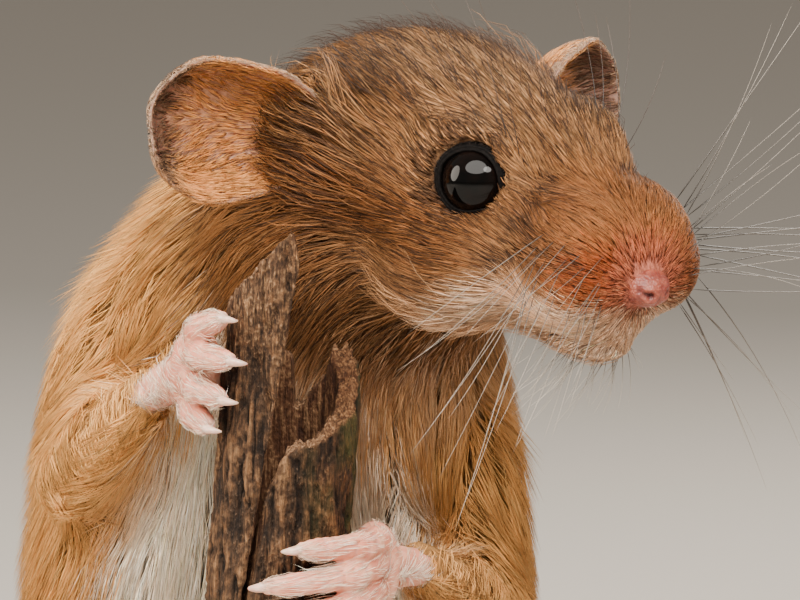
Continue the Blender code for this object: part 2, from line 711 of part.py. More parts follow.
# The stand's middle to the origin, millimetres to metres, and smooth shading
settle = Matrix.Scale(MM, 4) @ Matrix.Translation((-BASE_CENTRE[0], -BASE_CENTRE[1], 0))
for obj in [*parts.objects, *cutters.objects]:
    obj.data.transform(settle)
for obj in parts.objects:
    for face in obj.data.polygons:
        face.use_smooth = True
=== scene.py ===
"""A harvest mouse holding on to a broken stem, life size, on a plain display stand."""
import math

import bmesh
import bpy
import numpy as np
from mathutils import Matrix, Vector, noise
from mathutils.bvhtree import BVHTree
from mathutils.kdtree import KDTree


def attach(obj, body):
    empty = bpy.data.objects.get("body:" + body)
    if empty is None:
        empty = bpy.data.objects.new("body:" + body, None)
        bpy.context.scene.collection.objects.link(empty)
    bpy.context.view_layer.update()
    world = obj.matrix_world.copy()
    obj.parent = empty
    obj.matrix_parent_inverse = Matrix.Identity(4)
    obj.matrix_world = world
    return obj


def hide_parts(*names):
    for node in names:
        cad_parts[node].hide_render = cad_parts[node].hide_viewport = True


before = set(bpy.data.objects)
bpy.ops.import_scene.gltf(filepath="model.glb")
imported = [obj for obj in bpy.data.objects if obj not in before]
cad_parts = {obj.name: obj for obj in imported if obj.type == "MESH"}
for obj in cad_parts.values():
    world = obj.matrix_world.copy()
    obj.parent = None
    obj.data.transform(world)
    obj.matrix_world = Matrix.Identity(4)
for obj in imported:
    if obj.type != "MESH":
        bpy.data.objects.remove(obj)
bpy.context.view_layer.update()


# The stand. A round wooden base 48 mm across, painted a matt warm grey, with a small
# brushed steel rod let into it. The rod runs up into the foot of the stem.

def new_finish(name, colour, roughness, **sockets):
    """A material and its shader, with the sockets that are the same all over set on it."""
    finish = bpy.data.materials.new(name)
    finish.use_nodes = True
    shader = finish.node_tree.nodes["Principled BSDF"]
    shader.inputs["Base Color"].default_value = (*colour, 1)
    shader.inputs["Roughness"].default_value = roughness
    for socket, value in sockets.items():
        shader.inputs[socket.replace("_", " ")].default_value = value
    return finish, finish.node_tree, shader


def add_node(tree, kind, inputs=(), **settings):
    """A node with its settings, and its inputs as values or as sockets to link from."""
    node = tree.nodes.new(kind)
    for key, value in settings.items():
        setattr(node, key, value)
    for key, value in dict(inputs).items():
        if isinstance(value, bpy.types.NodeSocket):
            tree.links.new(value, node.inputs[key])
        else:
            node.inputs[key].default_value = value
    return node


def object_place(tree):
    return add_node(tree, "ShaderNodeTexCoord").outputs["Object"]


def grain(tree, size, stretch=(1, 1, 1), detail=3.0):
    """A noise in Object coordinates, its grains about size metres across and stretched."""
    scaled = add_node(tree, "ShaderNodeMapping", {"Vector": object_place(tree),
                                                  "Scale": [1 / s for s in stretch]})
    noisy = add_node(tree, "ShaderNodeTexNoise", {"Vector": scaled.outputs[0],
                                                  "Scale": 1 / size, "Detail": detail})
    return noisy.outputs["Fac"]


def ramp(tree, source, *stops):
    """Colours from stops of (place, colour)."""
    node = add_node(tree, "ShaderNodeValToRGB", {"Fac": source})
    bands = node.color_ramp.elements
    while len(bands) < len(stops):
        bands.new(0.5)
    for band, (place, colour) in zip(bands, stops):
        band.position = place
        band.color = (*colour, 1)
    return node.outputs["Color"]


def coloured_by(tree, shader, colour):
    tree.links.new(colour, shader.inputs["Base Color"])


def painted(tree, shader, source, *stops):
    coloured_by(tree, shader, ramp(tree, source, *stops))


def bump(tree, shader, height, distance, strength=1.0):
    node = add_node(tree, "ShaderNodeBump", {"Height": height, "Distance": distance,
                                             "Strength": strength})
    tree.links.new(node.outputs[0], shader.inputs["Normal"])


paint, tree, shader = new_finish("stand_paint", (0.3, 0.28, 0.26), 0.55)
orange_peel = grain(tree, 0.0007)
wear = grain(tree, 0.006, detail=5)
painted(tree, shader, wear, (0.3, (0.26, 0.245, 0.225)), (0.7, (0.33, 0.31, 0.285)))
dullness = add_node(tree, "ShaderNodeMapRange", {"Value": wear, 3: 0.45, 4: 0.62})
tree.links.new(dullness.outputs[0], shader.inputs["Roughness"])
bump(tree, shader, orange_peel, 0.00002, 0.6)

steel, tree, shader = new_finish("rod_steel", (0.56, 0.55, 0.53), 0.32, Metallic=1.0)
brushed = grain(tree, 0.0004, (1, 1, 0.03))
painted(tree, shader, brushed, (0.3, (0.46, 0.45, 0.43)), (0.7, (0.62, 0.61, 0.59)))
bump(tree, shader, brushed, 0.00001, 0.5)

for node, finish in (("stand_base", paint), ("stand_rod", steel)):
    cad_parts[node].data.materials.clear()
    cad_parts[node].data.materials.append(finish)


# The stem. A dead, hollow stalk 6 mm across, split down one side, with a tall torn shard
# left of the crack and a curled lip right of it. Weathered fibrous bark outside, dark torn
# wood in the split, a paler ragged rim, painted shade darkening the right side, and a
# little green growth on that shaded side.

# Places and sizes are in millimetres from here on, in the frame's own axes
MM = 0.001
STEM_RADIUS = 3.0
STEM_UPRIGHT_AT = 53.4
LEAN = math.tan(math.radians(4.0))
AXIS_PLACE = Vector((0.5, -8.5, 0.0))


def off_axis(rows):
    """How far points lie off the stem's leaning axis, to its right and to its back."""
    axis_x = AXIS_PLACE.x + (rows[:, 2] - STEM_UPRIGHT_AT) * LEAN
    return np.stack([rows[:, 0] - axis_x, rows[:, 1] - AXIS_PLACE.y], 1)


def solid(name):
    """A copy of a node's solid as a bmesh, in millimetres."""
    one = bmesh.new()
    one.from_mesh(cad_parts[name].data)
    bmesh.ops.scale(one, vec=[1 / MM] * 3, verts=one.verts)
    bmesh.ops.remove_doubles(one, verts=one.verts, dist=0.001)
    return one


def settled(form):
    """A bmesh as a mesh."""
    mesh = bpy.data.meshes.new("settled")
    form.to_mesh(mesh)
    form.free()
    return mesh


def joined(forms):
    """Several bmeshes in one."""
    whole = bmesh.new()
    for form in forms:
        mesh = settled(form)
        whole.from_mesh(mesh)
        bpy.data.meshes.remove(mesh)
    return whole


def reworked(form, *modifiers):
    """The mesh that a bmesh makes once these modifiers are applied."""
    mesh = settled(form)
    work = bpy.data.objects.new("work", mesh)
    bpy.context.scene.collection.objects.link(work)
    for kind, settings in modifiers:
        modifier = work.modifiers.new(kind.lower(), kind)
        for key, value in settings.items():
            setattr(modifier, key, value)
    made = bpy.data.meshes.new_from_object(
        work.evaluated_get(bpy.context.evaluated_depsgraph_get()))
    bpy.data.objects.remove(work)
    bpy.data.meshes.remove(mesh)
    return made


def rows_of(items, name, width, kind=np.float32):
    """A value of each item of a mesh, as rows of an array."""
    rows = np.empty(len(items) * width, kind)
    items.foreach_get(name, rows)
    return rows.reshape(-1, width)


def places(mesh):
    return rows_of(mesh.vertices, "co", 3).astype(float)


def normals(mesh):
    return rows_of(mesh.vertices, "normal", 3).astype(float)


def set_places(mesh, rows):
    mesh.vertices.foreach_set("co", np.asarray(rows, np.float32).ravel())
    mesh.update()


def add_values(mesh, name, rows):
    """A value or a colour for each point of a mesh."""
    kind = "FLOAT" if np.ndim(rows) == 1 else "FLOAT_COLOR"
    held = mesh.attributes.new(name, kind, "POINT")
    if kind == "FLOAT":
        held.data.foreach_set("value", np.asarray(rows, np.float32))
    else:
        rows = np.concatenate([rows, np.ones((len(rows), 1))], 1)
        held.data.foreach_set("color", np.asarray(rows, np.float32).ravel())


def add_piece(name, mesh, finish, stands_for=()):
    """A finished piece: millimetres to metres, with its finish, on the mouse's one body."""
    mesh.name = name
    mesh.transform(Matrix.Scale(MM, 4))
    mesh.materials.clear()
    mesh.materials.append(finish)
    mesh.shade_smooth()
    piece = bpy.data.objects.new(name, mesh)
    bpy.context.scene.collection.objects.link(piece)
    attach(piece, "root")
    if stands_for:
        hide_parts(*stands_for)


def norms(rows):
    """The length of each row of numbers."""
    return np.linalg.norm(rows, axis=-1)


def mottle(rows, size, stretch=(1, 1, 1), octaves=2):
    """Smooth random values from about -1 to 1 at rows of points."""
    scale = 1.0 / (np.asarray(stretch) * size)
    return np.array([noise.fractal(Vector(p), 0.7, 2.1, octaves)
                     for p in (np.asarray(rows) * scale).tolist()])


def gently(values, low, high):
    """0 below low and 1 above high, easing in between."""
    share = np.clip((np.asarray(values) - low) / (high - low), 0, 1)
    return share * share * (3 - 2 * share)


def remeshed(forms, cell, rounds):
    """Several forms as one skin of cells, smoothed a number of times."""
    return reworked(joined(forms), ("REMESH", {"mode": "VOXEL", "voxel_size": cell}),
                    ("SMOOTH", {"factor": 0.5, "iterations": rounds}))


def attribute(tree, name, kind="Fac"):
    return add_node(tree, "ShaderNodeAttribute", attribute_name=name).outputs[kind]


def mix_colours(tree, share, first, second, blend="MIX"):
    node = add_node(tree, "ShaderNodeMix", data_type="RGBA", blend_type=blend)
    for socket, value in ((0, share), (6, first), (7, second)):
        if isinstance(value, bpy.types.NodeSocket):
            tree.links.new(value, node.inputs[socket])
        else:
            node.inputs[socket].default_value = value if socket == 0 else (*value, 1)
    return node.outputs[2]


def sums(tree, operation, first, second):
    return add_node(tree, "ShaderNodeMath", {0: first, 1: second},
                    operation=operation).outputs[0]


def weighted(tree, *terms):
    """The sum of pairs of a source and its weight."""
    first, *others = [sums(tree, "MULTIPLY", *term) for term in terms]
    for other in others:
        first = sums(tree, "ADD", first, other)
    return first


wood = remeshed([solid("stem"), solid("stem_shard")], 0.13, 3)
at = places(wood)
facing = normals(wood)
from_axis = off_axis(at)
away = norms(from_axis)
outer = gently(away, 2.45, 2.75) * gently(
    (facing[:, :2] * from_axis).sum(1) / np.maximum(away, 0.1), 0.2, 0.6)
height = at[:, 2]
torn = 1 - outer
ridges = mottle(at, 0.75, (1, 1, 9), 3)
fibres = mottle(at, 0.28, (1, 1, 8), 2)
flakes = mottle(at, 1.6, (1, 1, 2.2), 3)
pits = gently(mottle(at, 0.5, (1, 1, 2.6), 2), 0.3, 0.8)
cracks = gently(-np.abs(mottle(at + 7, 0.9, (1, 1, 7), 2)), -0.09, 0.0)
worn = (0.13 * ridges + 0.09 * fibres + 0.14 * flakes - 0.14 * pits - 0.2 * cracks) * outer
worn += (0.07 * ridges + 0.1 * fibres) * torn * gently(height, 11.5, 13)
below = gently(height, 46, 50)
worn *= 0.55 + 0.45 * below
ragged = 0.5 * mottle(at, 0.45, (1, 1, 30), 2) + 0.25 * mottle(at, 0.2, (1, 1, 30), 1)
ragged = np.minimum(ragged, np.interp(height, (62.5, 64.2), (1.0, -0.15)))
upward = gently(facing[:, 2], 0.25, 0.8) * gently(height, 53, 54)
moved = at + facing * worn[:, None] * (1 - upward[:, None])
moved[:, 2] += ragged * upward
set_places(wood, moved)
add_values(wood, "torn", np.clip(torn + upward, 0, 1))
add_values(wood, "rim", upward)
crumbling = gently(height, 57.5, 62.5) * gently(-from_axis[:, 0], -1.5, 1.5)
scabs = 0.9 * gently(mottle(at, 2.2, (1, 1, 2.6), 2), 0.0, 0.5) * (0.5 + 0.5 * below)
crumbling = np.maximum(crumbling, scabs)
add_values(wood, "crumbled", 0.85 * crumbling * outer)
add_values(wood, "relief", 0.5 + 0.5 * np.clip((0.9 * ridges + 0.5 * fibres + 0.7 * flakes
                                                - 1.1 * pits - 1.6 * cracks), -1, 1))

bark, tree, shader = new_finish("dry_bark", (0.2, 0.14, 0.1), 0.85, Specular_IOR_Level=0.2)
relief, inside, crumbled, rim = [attribute(tree, name)
                                 for name in ("relief", "torn", "crumbled", "rim")]
streaks = grain(tree, 0.00022, (1, 1, 9), 5)
threads = grain(tree, 0.00008, (1, 1, 12), 3)
crumbs = grain(tree, 0.00013, (1, 1, 1.6), 4)
patches = grain(tree, 0.0024, (1, 1, 2), 3)
young_bark = ramp(tree, weighted(tree, (relief, 0.4), (streaks, 0.3), (threads, 0.3)),
                  (0.36, (0.012, 0.006, 0.003)), (0.47, (0.045, 0.024, 0.012)),
                  (0.57, (0.078, 0.039, 0.018)), (0.7, (0.18, 0.098, 0.047)))
old_bark = ramp(tree, weighted(tree, (crumbs, 0.45), (threads, 0.55)),
                (0.38, (0.028, 0.014, 0.007)), (0.5, (0.088, 0.043, 0.02)),
                (0.64, (0.26, 0.15, 0.075)))
bark_colour = mix_colours(tree, crumbled, young_bark, old_bark)
bits = sums(tree, "MULTIPLY", ramp(tree, crumbs, (0.6, (0, 0, 0)), (0.68, (1, 1, 1))), 0.16)
bark_colour = mix_colours(tree, bits, bark_colour, (0.3, 0.2, 0.13))
pocks = ramp(tree, grain(tree, 0.00026, (1, 1, 1.5), 5), (0.38, (0.3, 0.26, 0.24)),
             (0.52, (1, 1, 1)), (0.66, (1.55, 1.4, 1.25)))
bark_colour = mix_colours(tree, 0.85, bark_colour, pocks, "MULTIPLY")
torn_colour = ramp(tree, weighted(tree, (streaks, 0.6), (crumbs, 0.4)),
                   (0.36, (0.022, 0.008, 0.004)), (0.5, (0.07, 0.028, 0.012)),
                   (0.66, (0.24, 0.13, 0.065)))
wood_colour = mix_colours(tree, inside, bark_colour, torn_colour)
splinters = grain(tree, 0.00011, detail=4)
rim_colour = ramp(tree, splinters, (0.36, (0.06, 0.028, 0.013)), (0.5, (0.17, 0.088, 0.044)),
                  (0.64, (0.33, 0.2, 0.115)))
wood_colour = mix_colours(tree, rim, wood_colour, rim_colour)
across = add_node(tree, "ShaderNodeSeparateXYZ", {"Vector": object_place(tree)})
shaded_right_side = add_node(tree, "ShaderNodeMapRange",
                      {"Value": across.outputs["X"], 1: 0.0012, 2: 0.003}).outputs[0]
growth = ramp(tree, patches, (0.45, (0, 0, 0)), (0.6, (1, 1, 1)))
growth = sums(tree, "MULTIPLY", growth, shaded_right_side)
growth = sums(tree, "MULTIPLY", growth, sums(tree, "SUBTRACT", 1.0, inside))
# Painted shade: the bark darkened to brown on the right side of the stem, away from the light
wood_colour = mix_colours(tree, sums(tree, "MULTIPLY", shaded_right_side, 0.85), wood_colour,
                          (0.5, 0.38, 0.26), "MULTIPLY")
wood_colour = mix_colours(tree, sums(tree, "MULTIPLY", growth, 0.5), wood_colour,
                          (0.04, 0.045, 0.01))
coloured_by(tree, shader, wood_colour)
bump(tree, shader, weighted(tree, (streaks, 1), (threads, 1), (crumbs, 1)), 0.00016)
add_piece("stem_wood", wood, bark, ("stem", "stem_shard"))


# The skin. One hide under the whole coat, from the lips to the rump and out along the
# limbs, as deep below the mouse's outline as the fur that grows on it. Its colours are
# the coat's, darker at the roots of the hair, with painted shade on the chest and along
# the crease of the mouth.

HEAD_FRAME = (
    Matrix.Translation(Vector((12.3, -8.2, 67.7)))
    @ Matrix.Rotation(math.radians(-49), 4, "Z")
    @ Matrix.Rotation(math.radians(17), 4, "Y")
    @ Matrix.Rotation(math.radians(4), 4, "X")
)
HEAD_TURN = np.array(HEAD_FRAME.to_3x3())
HEAD_MIDDLE = np.array(HEAD_FRAME.translation)
EYE_AT = {1: np.array((-1.35, 3.2, -0.7)), -1: np.array((-1.35, -3.2, -0.7))}
NOSE_AT = np.array((6.5, 0.0, -3.0))
BODY_MIDDLE = np.array((-0.2, 6.0))
FLESH = ("head", "lower_jaw", "nose", "neck", "torso", "upper_arm_right", "upper_arm_left",
         "forearm_right", "forearm_left", "thigh_right", "thigh_left", "shank_right",
         "shank_left", "tail_1")
CLOSE_GAPS = 0.2
COAT_DEPTH = {"neck": 1.5, "torso": 2.1, "upper_arm": 1.3, "forearm": 0.5, "thigh": 1.7,
              "shank": 0.4, "tail": 0.4, "lower": 0.25, "nose": 0.12}


def in_head(rows):
    """Points as (ahead, left, up) in millimetres in the frame of the head."""
    return (np.asarray(rows) - HEAD_MIDDLE) @ HEAD_TURN


def from_head(rows):
    return np.asarray(rows) @ HEAD_TURN.T + HEAD_MIDDLE


def unit(rows):
    """Rows of numbers brought to a length of one."""
    return rows / np.maximum(norms(rows), 1e-6)[..., None]


def evened(values, edges, rounds):
    """Values at points, each shared with its neighbours a number of times."""
    values = np.array(values, float)
    flat = values.reshape(len(values), -1)
    a, b = edges[:, 0], edges[:, 1]
    count = np.bincount(np.concatenate([a, b]), minlength=len(flat)) + 1.0
    for _ in range(rounds):
        for k in range(flat.shape[1]):
            column = flat[:, k]
            total = (np.bincount(a, column[b], len(flat))
                     + np.bincount(b, column[a], len(flat)) + column)
            flat[:, k] = total / count
    return flat.reshape(values.shape)


def eye_distance(head_rows):
    """How far each point is from the nearer eye's middle."""
    return np.minimum(norms(head_rows - EYE_AT[1]), norms(head_rows - EYE_AT[-1]))


def mouth_distance(head_rows):
    """How far each point is from the line where the lower jaw meets the head."""
    share = (head_rows - (3.3, 0, -7.0)) / (3.3, 2.4, 1.75)
    return np.abs(norms(share) - 1.0) * 2.0


def head_depth(head_rows):
    ahead = head_rows[:, 0]
    depth = np.interp(ahead, (-13, -8, -3, 1, 4, 6.2, 7.2),
                      (1.3, 1.0, 0.7, 0.5, 0.35, 0.2, 0.08))
    near_eye = gently(eye_distance(head_rows), 1.9, 3.0)
    return 0.05 + (depth - 0.05) * near_eye


def eye_axes(side):
    """Which way the eye looks, the way to its inner corner, and up, in the head's frame."""
    out = np.array((0.34, side * 0.91, 0.24))
    out /= np.linalg.norm(out)
    corner = np.array((1.0, 0.0, -0.12))
    corner -= out * (corner @ out)
    corner /= np.linalg.norm(corner)
    up = np.cross(out, corner) * side
    return out, corner, up if up[2] > 0 else -up


def off_eye(head_rows, side):
    """How far points rise over the middle of an eye, and where they lie off its axis."""
    out = eye_axes(side)[0]
    off = head_rows - EYE_AT[side]
    rise = off @ out
    return rise, off - rise[:, None] * out


def round_eyes(head_rows):
    """The hide brought level with the lids all round each eye, and below the ball under it."""
    rows = head_rows.copy()
    for side in EYE_AT:
        rise, outward = off_eye(rows, side)
        reach = norms(outward)
        level = np.interp(reach, (0, 1.15, 1.5, 1.75, 2.1), (0.9, 0.75, 0.62, 0.86, 0.95))
        share = (1 - gently(reach, 1.8, 3.6)) * gently(rise, -0.9, 0.0)
        rows += eye_axes(side)[0] * ((level - rise) * share)[:, None]
    return rows


def flesh(name, swell=0.0):
    """A solid of the body, swollen a little, and the head's without its whiskers."""
    one = solid(name)
    if name == "head":
        ahead, left = in_head([v.co for v in one.verts]).T[:2]
        whiskers = (np.abs(left) > 8) | ((np.abs(left) > 5.4) & (ahead > 0.5))
        one.verts.ensure_lookup_table()
        bmesh.ops.delete(one, geom=[one.verts[k] for k in np.flatnonzero(whiskers)],
                         context="VERTS")
        bmesh.ops.holes_fill(one, edges=[e for e in one.edges if e.is_boundary])
    one.normal_update()
    for vert in one.verts:
        vert.co += vert.normal * swell
    return one


hide = remeshed([flesh(name, CLOSE_GAPS) for name in FLESH], 0.2, 14)
flesh_tree_rows, flesh_tree_faces, flesh_of_face = [], [], []
for name in FLESH:
    one = flesh(name)
    first = len(flesh_tree_rows)
    one.verts.index_update()
    flesh_tree_rows += [v.co.copy() for v in one.verts]
    flesh_tree_faces += [[first + v.index for v in f.verts] for f in one.faces]
    flesh_of_face += [FLESH.index(name)] * len(one.faces)
    one.free()
flesh_tree = BVHTree.FromPolygons(flesh_tree_rows, flesh_tree_faces)

at = places(hide)
facing = normals(hide)
edges = rows_of(hide.edges, "vertices", 2, np.int32)
part_at = np.array([flesh_of_face[flesh_tree.find_nearest(p)[2]] for p in at.tolist()])
part_names = np.array(FLESH)[part_at]
head_rows = in_head(at)
depth = np.zeros(len(at))
for key, value in COAT_DEPTH.items():
    depth[np.char.startswith(part_names, key)] = value
on_head = np.isin(part_names, ("head", "lower_jaw", "nose"))
depth[part_names == "head"] = head_depth(head_rows)[part_names == "head"]
fur_depth = evened(depth, edges, 40)
near_mouth = np.exp(-(mouth_distance(head_rows) / 0.22) ** 2)
near_mouth *= gently(head_rows[:, 0], 1.5, 3.0)
near_mouth *= on_head * gently(-head_rows[:, 2], 4.2, 4.9)
sunk = CLOSE_GAPS + fur_depth + 0.3 * near_mouth
set_places(hide, at - facing * sunk[:, None])
set_places(hide, evened(places(hide), edges, 3))
set_places(hide, from_head(round_eyes(in_head(places(hide)))))

# The lie of the coat: from the nose over the head, then down the body and out along
# each limb.
LIMB_RUNS = {
    "upper_arm_right": ((-5.5, 3.5, 61.0), (-8.5, -0.5, 54.8)),
    "upper_arm_left": ((6.9, 3.9, 56.6), (9.4, -0.1, 48.8)),
    "forearm_right": ((-8.7, -1.5, 53.4), (-5.4, -5.1, 58.0)),
    "forearm_left": ((9.4, -1.3, 46.9), (6.3, -5.1, 50.4)),
    "thigh_right": ((-6.2, 8.7, 37.0), (-10.4, -1.3, 42.3)),
    "thigh_left": ((6.0, 8.7, 35.2), (10.3, -1.3, 39.2)),
    "shank_right": ((-10.7, -1.9, 41.4), (-8.9, 1.1, 32.6)),
    "shank_left": ((10.5, -1.9, 38.2), (8.8, 1.1, 29.2)),
}
from_nose = unit(head_rows - NOSE_AT)
from_nose[:, 2] += 0.12
lie = from_nose @ HEAD_TURN.T
lie[~on_head] = (0.0, 0.12, -1.0)
on_neck = part_names == "neck"
lie[on_neck] = (-0.45, 0.35, -0.82)
for name, (root, tip) in LIMB_RUNS.items():
    along = np.array(tip) - np.array(root)
    along = along / np.linalg.norm(along)
    if "forearm" in name:
        along = 0.6 * along + (0.35 * np.sign(root[0]), 0.0, -0.75)
    lie[part_names == name] = along
lie = np.where(on_head[:, None], evened(lie, edges, 25), evened(lie, edges, 140))
lie = evened(lie, edges, 12)


def laid_flat(directions, up):
    """Directions turned to lie in the surface, and one long."""
    return unit(directions - up * (directions * up).sum(1)[:, None])


facing = normals(hide)
lie = laid_flat(lie, facing)

# The markings, by place: russet above, white below, rust on the muzzle, dark hairs on
# the crown and in front of the ears, and painted shade on the chest beside the stem.
RUSSET = np.array((0.25, 0.094, 0.029))
GOLD = np.array((0.76, 0.43, 0.17))
AMBER = np.array((0.78, 0.4, 0.125))
RUST = np.array((0.24, 0.036, 0.004))
CREAM = np.array((0.64, 0.36, 0.19))
WHITE = np.array((0.92, 0.78, 0.62))
BLUSH = np.array((0.33, 0.09, 0.05))
DUN = np.array((0.44, 0.27, 0.14))
# Dark streaks before the eye and at the roots of the whiskers, from and to a place in the
# frame of the head: ahead, to either side, up
DARK_STREAKS = (((2.0, 3.7, 0.3), (3.5, 3.0, -1.1)), ((2.9, 1.9, 0.2), (4.2, 2.4, -0.9)),
                ((2.3, 3.8, -1.6), (5.7, 3.0, -2.2)), ((2.3, 3.9, -3.4), (3.9, 3.6, -2.9)))


def blended(first, second, share):
    """Two colours mixed, one of them or both the same at every point."""
    share = np.asarray(share)[..., None]
    return np.asarray(first) * (1 - share) + np.asarray(second) * share


def markings_and_shade(rows, on_head_rows, on_limb_rows):
    """The colour of the coat and the share of dark hairs in it at each place."""
    head = in_head(rows)
    ahead, left, up = head.T
    side = np.abs(left)
    wander = mottle(rows, 1.3)
    # The edge of the white runs from the corner of the mouth back under the cheek
    edge = np.interp(ahead, (-14, -9, -5.3, -2.9, -0.5, 1.1, 3.8, 5.5, 7.0),
                     (-15, -11.5, -8.9, -7.5, -6.3, -4.5, -3.9, -3.6, -3.6))
    pale_head = gently(edge - up + 0.35 * wander, -0.5, 0.7) * gently(ahead, -12, -9)
    colour = blended(RUSSET, GOLD, gently(wander, -0.4, 0.9) * 0.22)
    colour = blended(colour, DUN * 0.62, 0.3)
    crown = gently(up, 0.5, 3.0) * gently(-ahead, -4.5, 0.0)
    colour = blended(colour, DUN * (1.85, 1.75, 1.7), 0.65 * crown)
    dark_share = 0.3 * gently(-ahead, -4.5, 1.0) + 0.08
    ear_front = np.exp(-((ahead + 7.6) ** 2 + (side - 6.2) ** 2 + (up + 1.0) ** 2) / 3.5)
    dark_share = dark_share + 0.3 * ear_front
    muzzle = gently(ahead, 4.4, 6.1) * gently(-np.abs(up + 2.2), -2.2, -0.7)
    muzzle = muzzle * (1 - 0.4 * gently(left, 0.3, 1.8))
    colour = blended(colour, RUST, 0.9 * muzzle)
    dark_share = dark_share * (1 - 0.8 * muzzle)
    bridge = gently(ahead, 1.0, 4.5) * gently(up, -1.9, -0.6)
    colour = blended(colour, (0.31, 0.122, 0.038), 0.7 * bridge)
    snout = gently(ahead, 1.6, 4.2)
    colour = blended(colour, (0.17, 0.056, 0.017), 0.72 * snout * (1 - muzzle))
    cheek = gently(-ahead, -3.8, 0.5) * gently(-up, 0.6, 2.6)
    cheek = cheek * (1 - 0.9 * gently(-up, 3.8, 5.6))
    colour = blended(colour, RUSSET * (0.56, 0.5, 0.44), 0.85 * cheek)
    streaks = 0.0
    for start, end in DARK_STREAKS:
        start, run = np.array(start), np.subtract(end, start)
        from_start = np.stack([ahead, side, up], 1) - start
        share = np.clip((from_start @ run) / (run @ run), 0, 1)
        off = norms(from_start - share[:, None] * run)
        streaks = streaks + np.exp(-(off / 0.46) ** 2)
    dark_share = dark_share + 0.8 * streaks
    colour = blended(colour, (0.08, 0.042, 0.028), 0.8 * np.clip(streaks, 0, 1))
    nape = gently(-ahead, 6.5, 11.5)
    colour = blended(colour, blended(RUSSET, AMBER, 0.3), 0.6 * nape)
    dark_share = dark_share * (1 - 0.5 * nape)
    around_eye = np.exp(-((eye_distance(head) - 1.75) / 0.5) ** 2)
    dark_share = dark_share + 0.55 * around_eye
    colour = blended(colour, CREAM * (0.95, 0.85, 0.8), pale_head * 0.75)
    colour = blended(colour, WHITE, (0.3 + 0.25 * wander) * gently(pale_head, 0.4, 1.0))
    dark_share = dark_share * (1 - pale_head)
    blush = gently(-norms(head - NOSE_AT), -2.7, -1.1) * (1 - 0.75 * gently(-up, 3.2, 4.2))
    blush = blush * (1 - 0.45 * gently(up, -2.2, -1.0))
    colour = blended(colour, BLUSH, 0.8 * blush)
    # The body: gold flanks, and a white belly to the front, dulled by painted shade on the
    # chest
    x, y, z = rows.T
    turn = np.degrees(np.arctan2(np.abs(x - BODY_MIDDLE[0]), BODY_MIDDLE[1] - y))
    belly_edge = np.interp(z, (28, 40, 46, 54, 60, 64), (80, 64, 56, 46, 24, 6))
    belly = gently(belly_edge - turn + 7 * wander, -8, 8)
    belly = belly * (1 - 0.92 * on_limb_rows)
    body = blended(RUSSET, AMBER, gently(-turn, -165, -70) * gently(-x, -9, -1))
    body = blended(body, AMBER, 0.22 + 0.4 * gently(-turn, -125, -65))
    body = blended(body, CREAM, belly * 0.8)
    body = blended(body, WHITE, gently(belly, 0.35, 1.0))
    # Painted shade: the white of the chest dulled towards dun beside the stem
    body = blended(body, DUN, 0.35 * belly * gently(x, 0.5, 3.5) * gently(z, 44, 54))
    body_dark = (0.06 + 0.2 * gently(turn, 90, 160)) * (1 - belly)
    throat = gently(-turn, -50, -32) * gently(-ahead, 3.5, 6) * gently(-z, -62, -60)
    throat = throat * gently(x, -3.0, 0.0)
    colour = blended(colour, CREAM, 0.85 * throat)
    dark_share = dark_share * (1 - throat)
    dark_share = body_dark * (1 - on_head_rows) + dark_share * on_head_rows
    return blended(body, colour, on_head_rows), dark_share


head_share = evened((on_head | on_neck).astype(float), edges, 90)
on_limb = np.isin(part_names, list(LIMB_RUNS))
limb_share = evened(on_limb.astype(float), edges, 12)
at = places(hide)
colour, dark_share = markings_and_shade(at, head_share, limb_share)
under = colour * (1 - 0.5 * np.clip(dark_share, 0, 1))[:, None]
# Painted shade: the hide darkened along the crease where the lips meet
under = blended(under * 0.62, (0.12, 0.05, 0.04), 0.8 * np.clip(near_mouth, 0, 1))
bare = evened((part_names == "tail_1").astype(float), edges, 8)
under = blended(under, (0.70, 0.40, 0.34), bare)
beside_nose = gently(-norms(in_head(at) - NOSE_AT), -1.9, -1.1)
under = blended(under, (0.38, 0.115, 0.07), beside_nose)
add_values(hide, "marking", under)


def marked(tree, shader, source, *stops, share=1.0):
    """Colour a finish with the mesh's own colours, with painted shade on some pieces, times the
    colours of a ramp.
    """
    coloured_by(tree, shader, mix_colours(tree, share, attribute(tree, "marking", "Color"),
                                          ramp(tree, source, *stops), "MULTIPLY"))


hide_finish, tree, shader = new_finish("hide", (0.4, 0.2, 0.1), 0.75,
                                       Specular_IOR_Level=0.2)
hairs = grain(tree, 0.00016, (1, 1, 4), 4)
tufts = grain(tree, 0.0006, (1, 1, 2.5), 3)
marked(tree, shader, hairs, (0.3, (0.35, 0.3, 0.28)), (0.7, (1, 1, 1)), share=0.85)
bump(tree, shader, sums(tree, "ADD", hairs, tufts), 0.00018, 0.9)


# The coat. Short, dense fur laid back from the nose over the head, and longer, looser
# fur down the body and out along the limbs. Each hair is a thin tapered lock, rooted in
# the hide and bent to lie along it, and neighbouring tips draw together.

draw = np.random.default_rng(7)
DARK = np.array((0.04, 0.02, 0.012))
GUARD_TIP = np.array((0.028, 0.015, 0.01))
PALE_TIP = np.array((0.54, 0.28, 0.1))
SKIN_TRIANGLES = 110000
# In the bake map: half the patch that each lock has, and the free edge round all patches
PATCH_HALF = 0.0015
MAP_MARGIN = 0.002


def ground_of(mesh, lie, depth, **values):
    """What locks need to know of a surface that they grow on."""
    mesh.calc_loop_triangles()
    rows, up = places(mesh), normals(mesh)
    faces = rows_of(mesh.loop_triangles, "vertices", 3, np.int32)
    return {"at": rows, "up": up, "lie": laid_flat(lie, up), "depth": depth, "tris": faces,
            "tree": BVHTree.FromPolygons(rows.tolist(), faces.tolist()), **values}


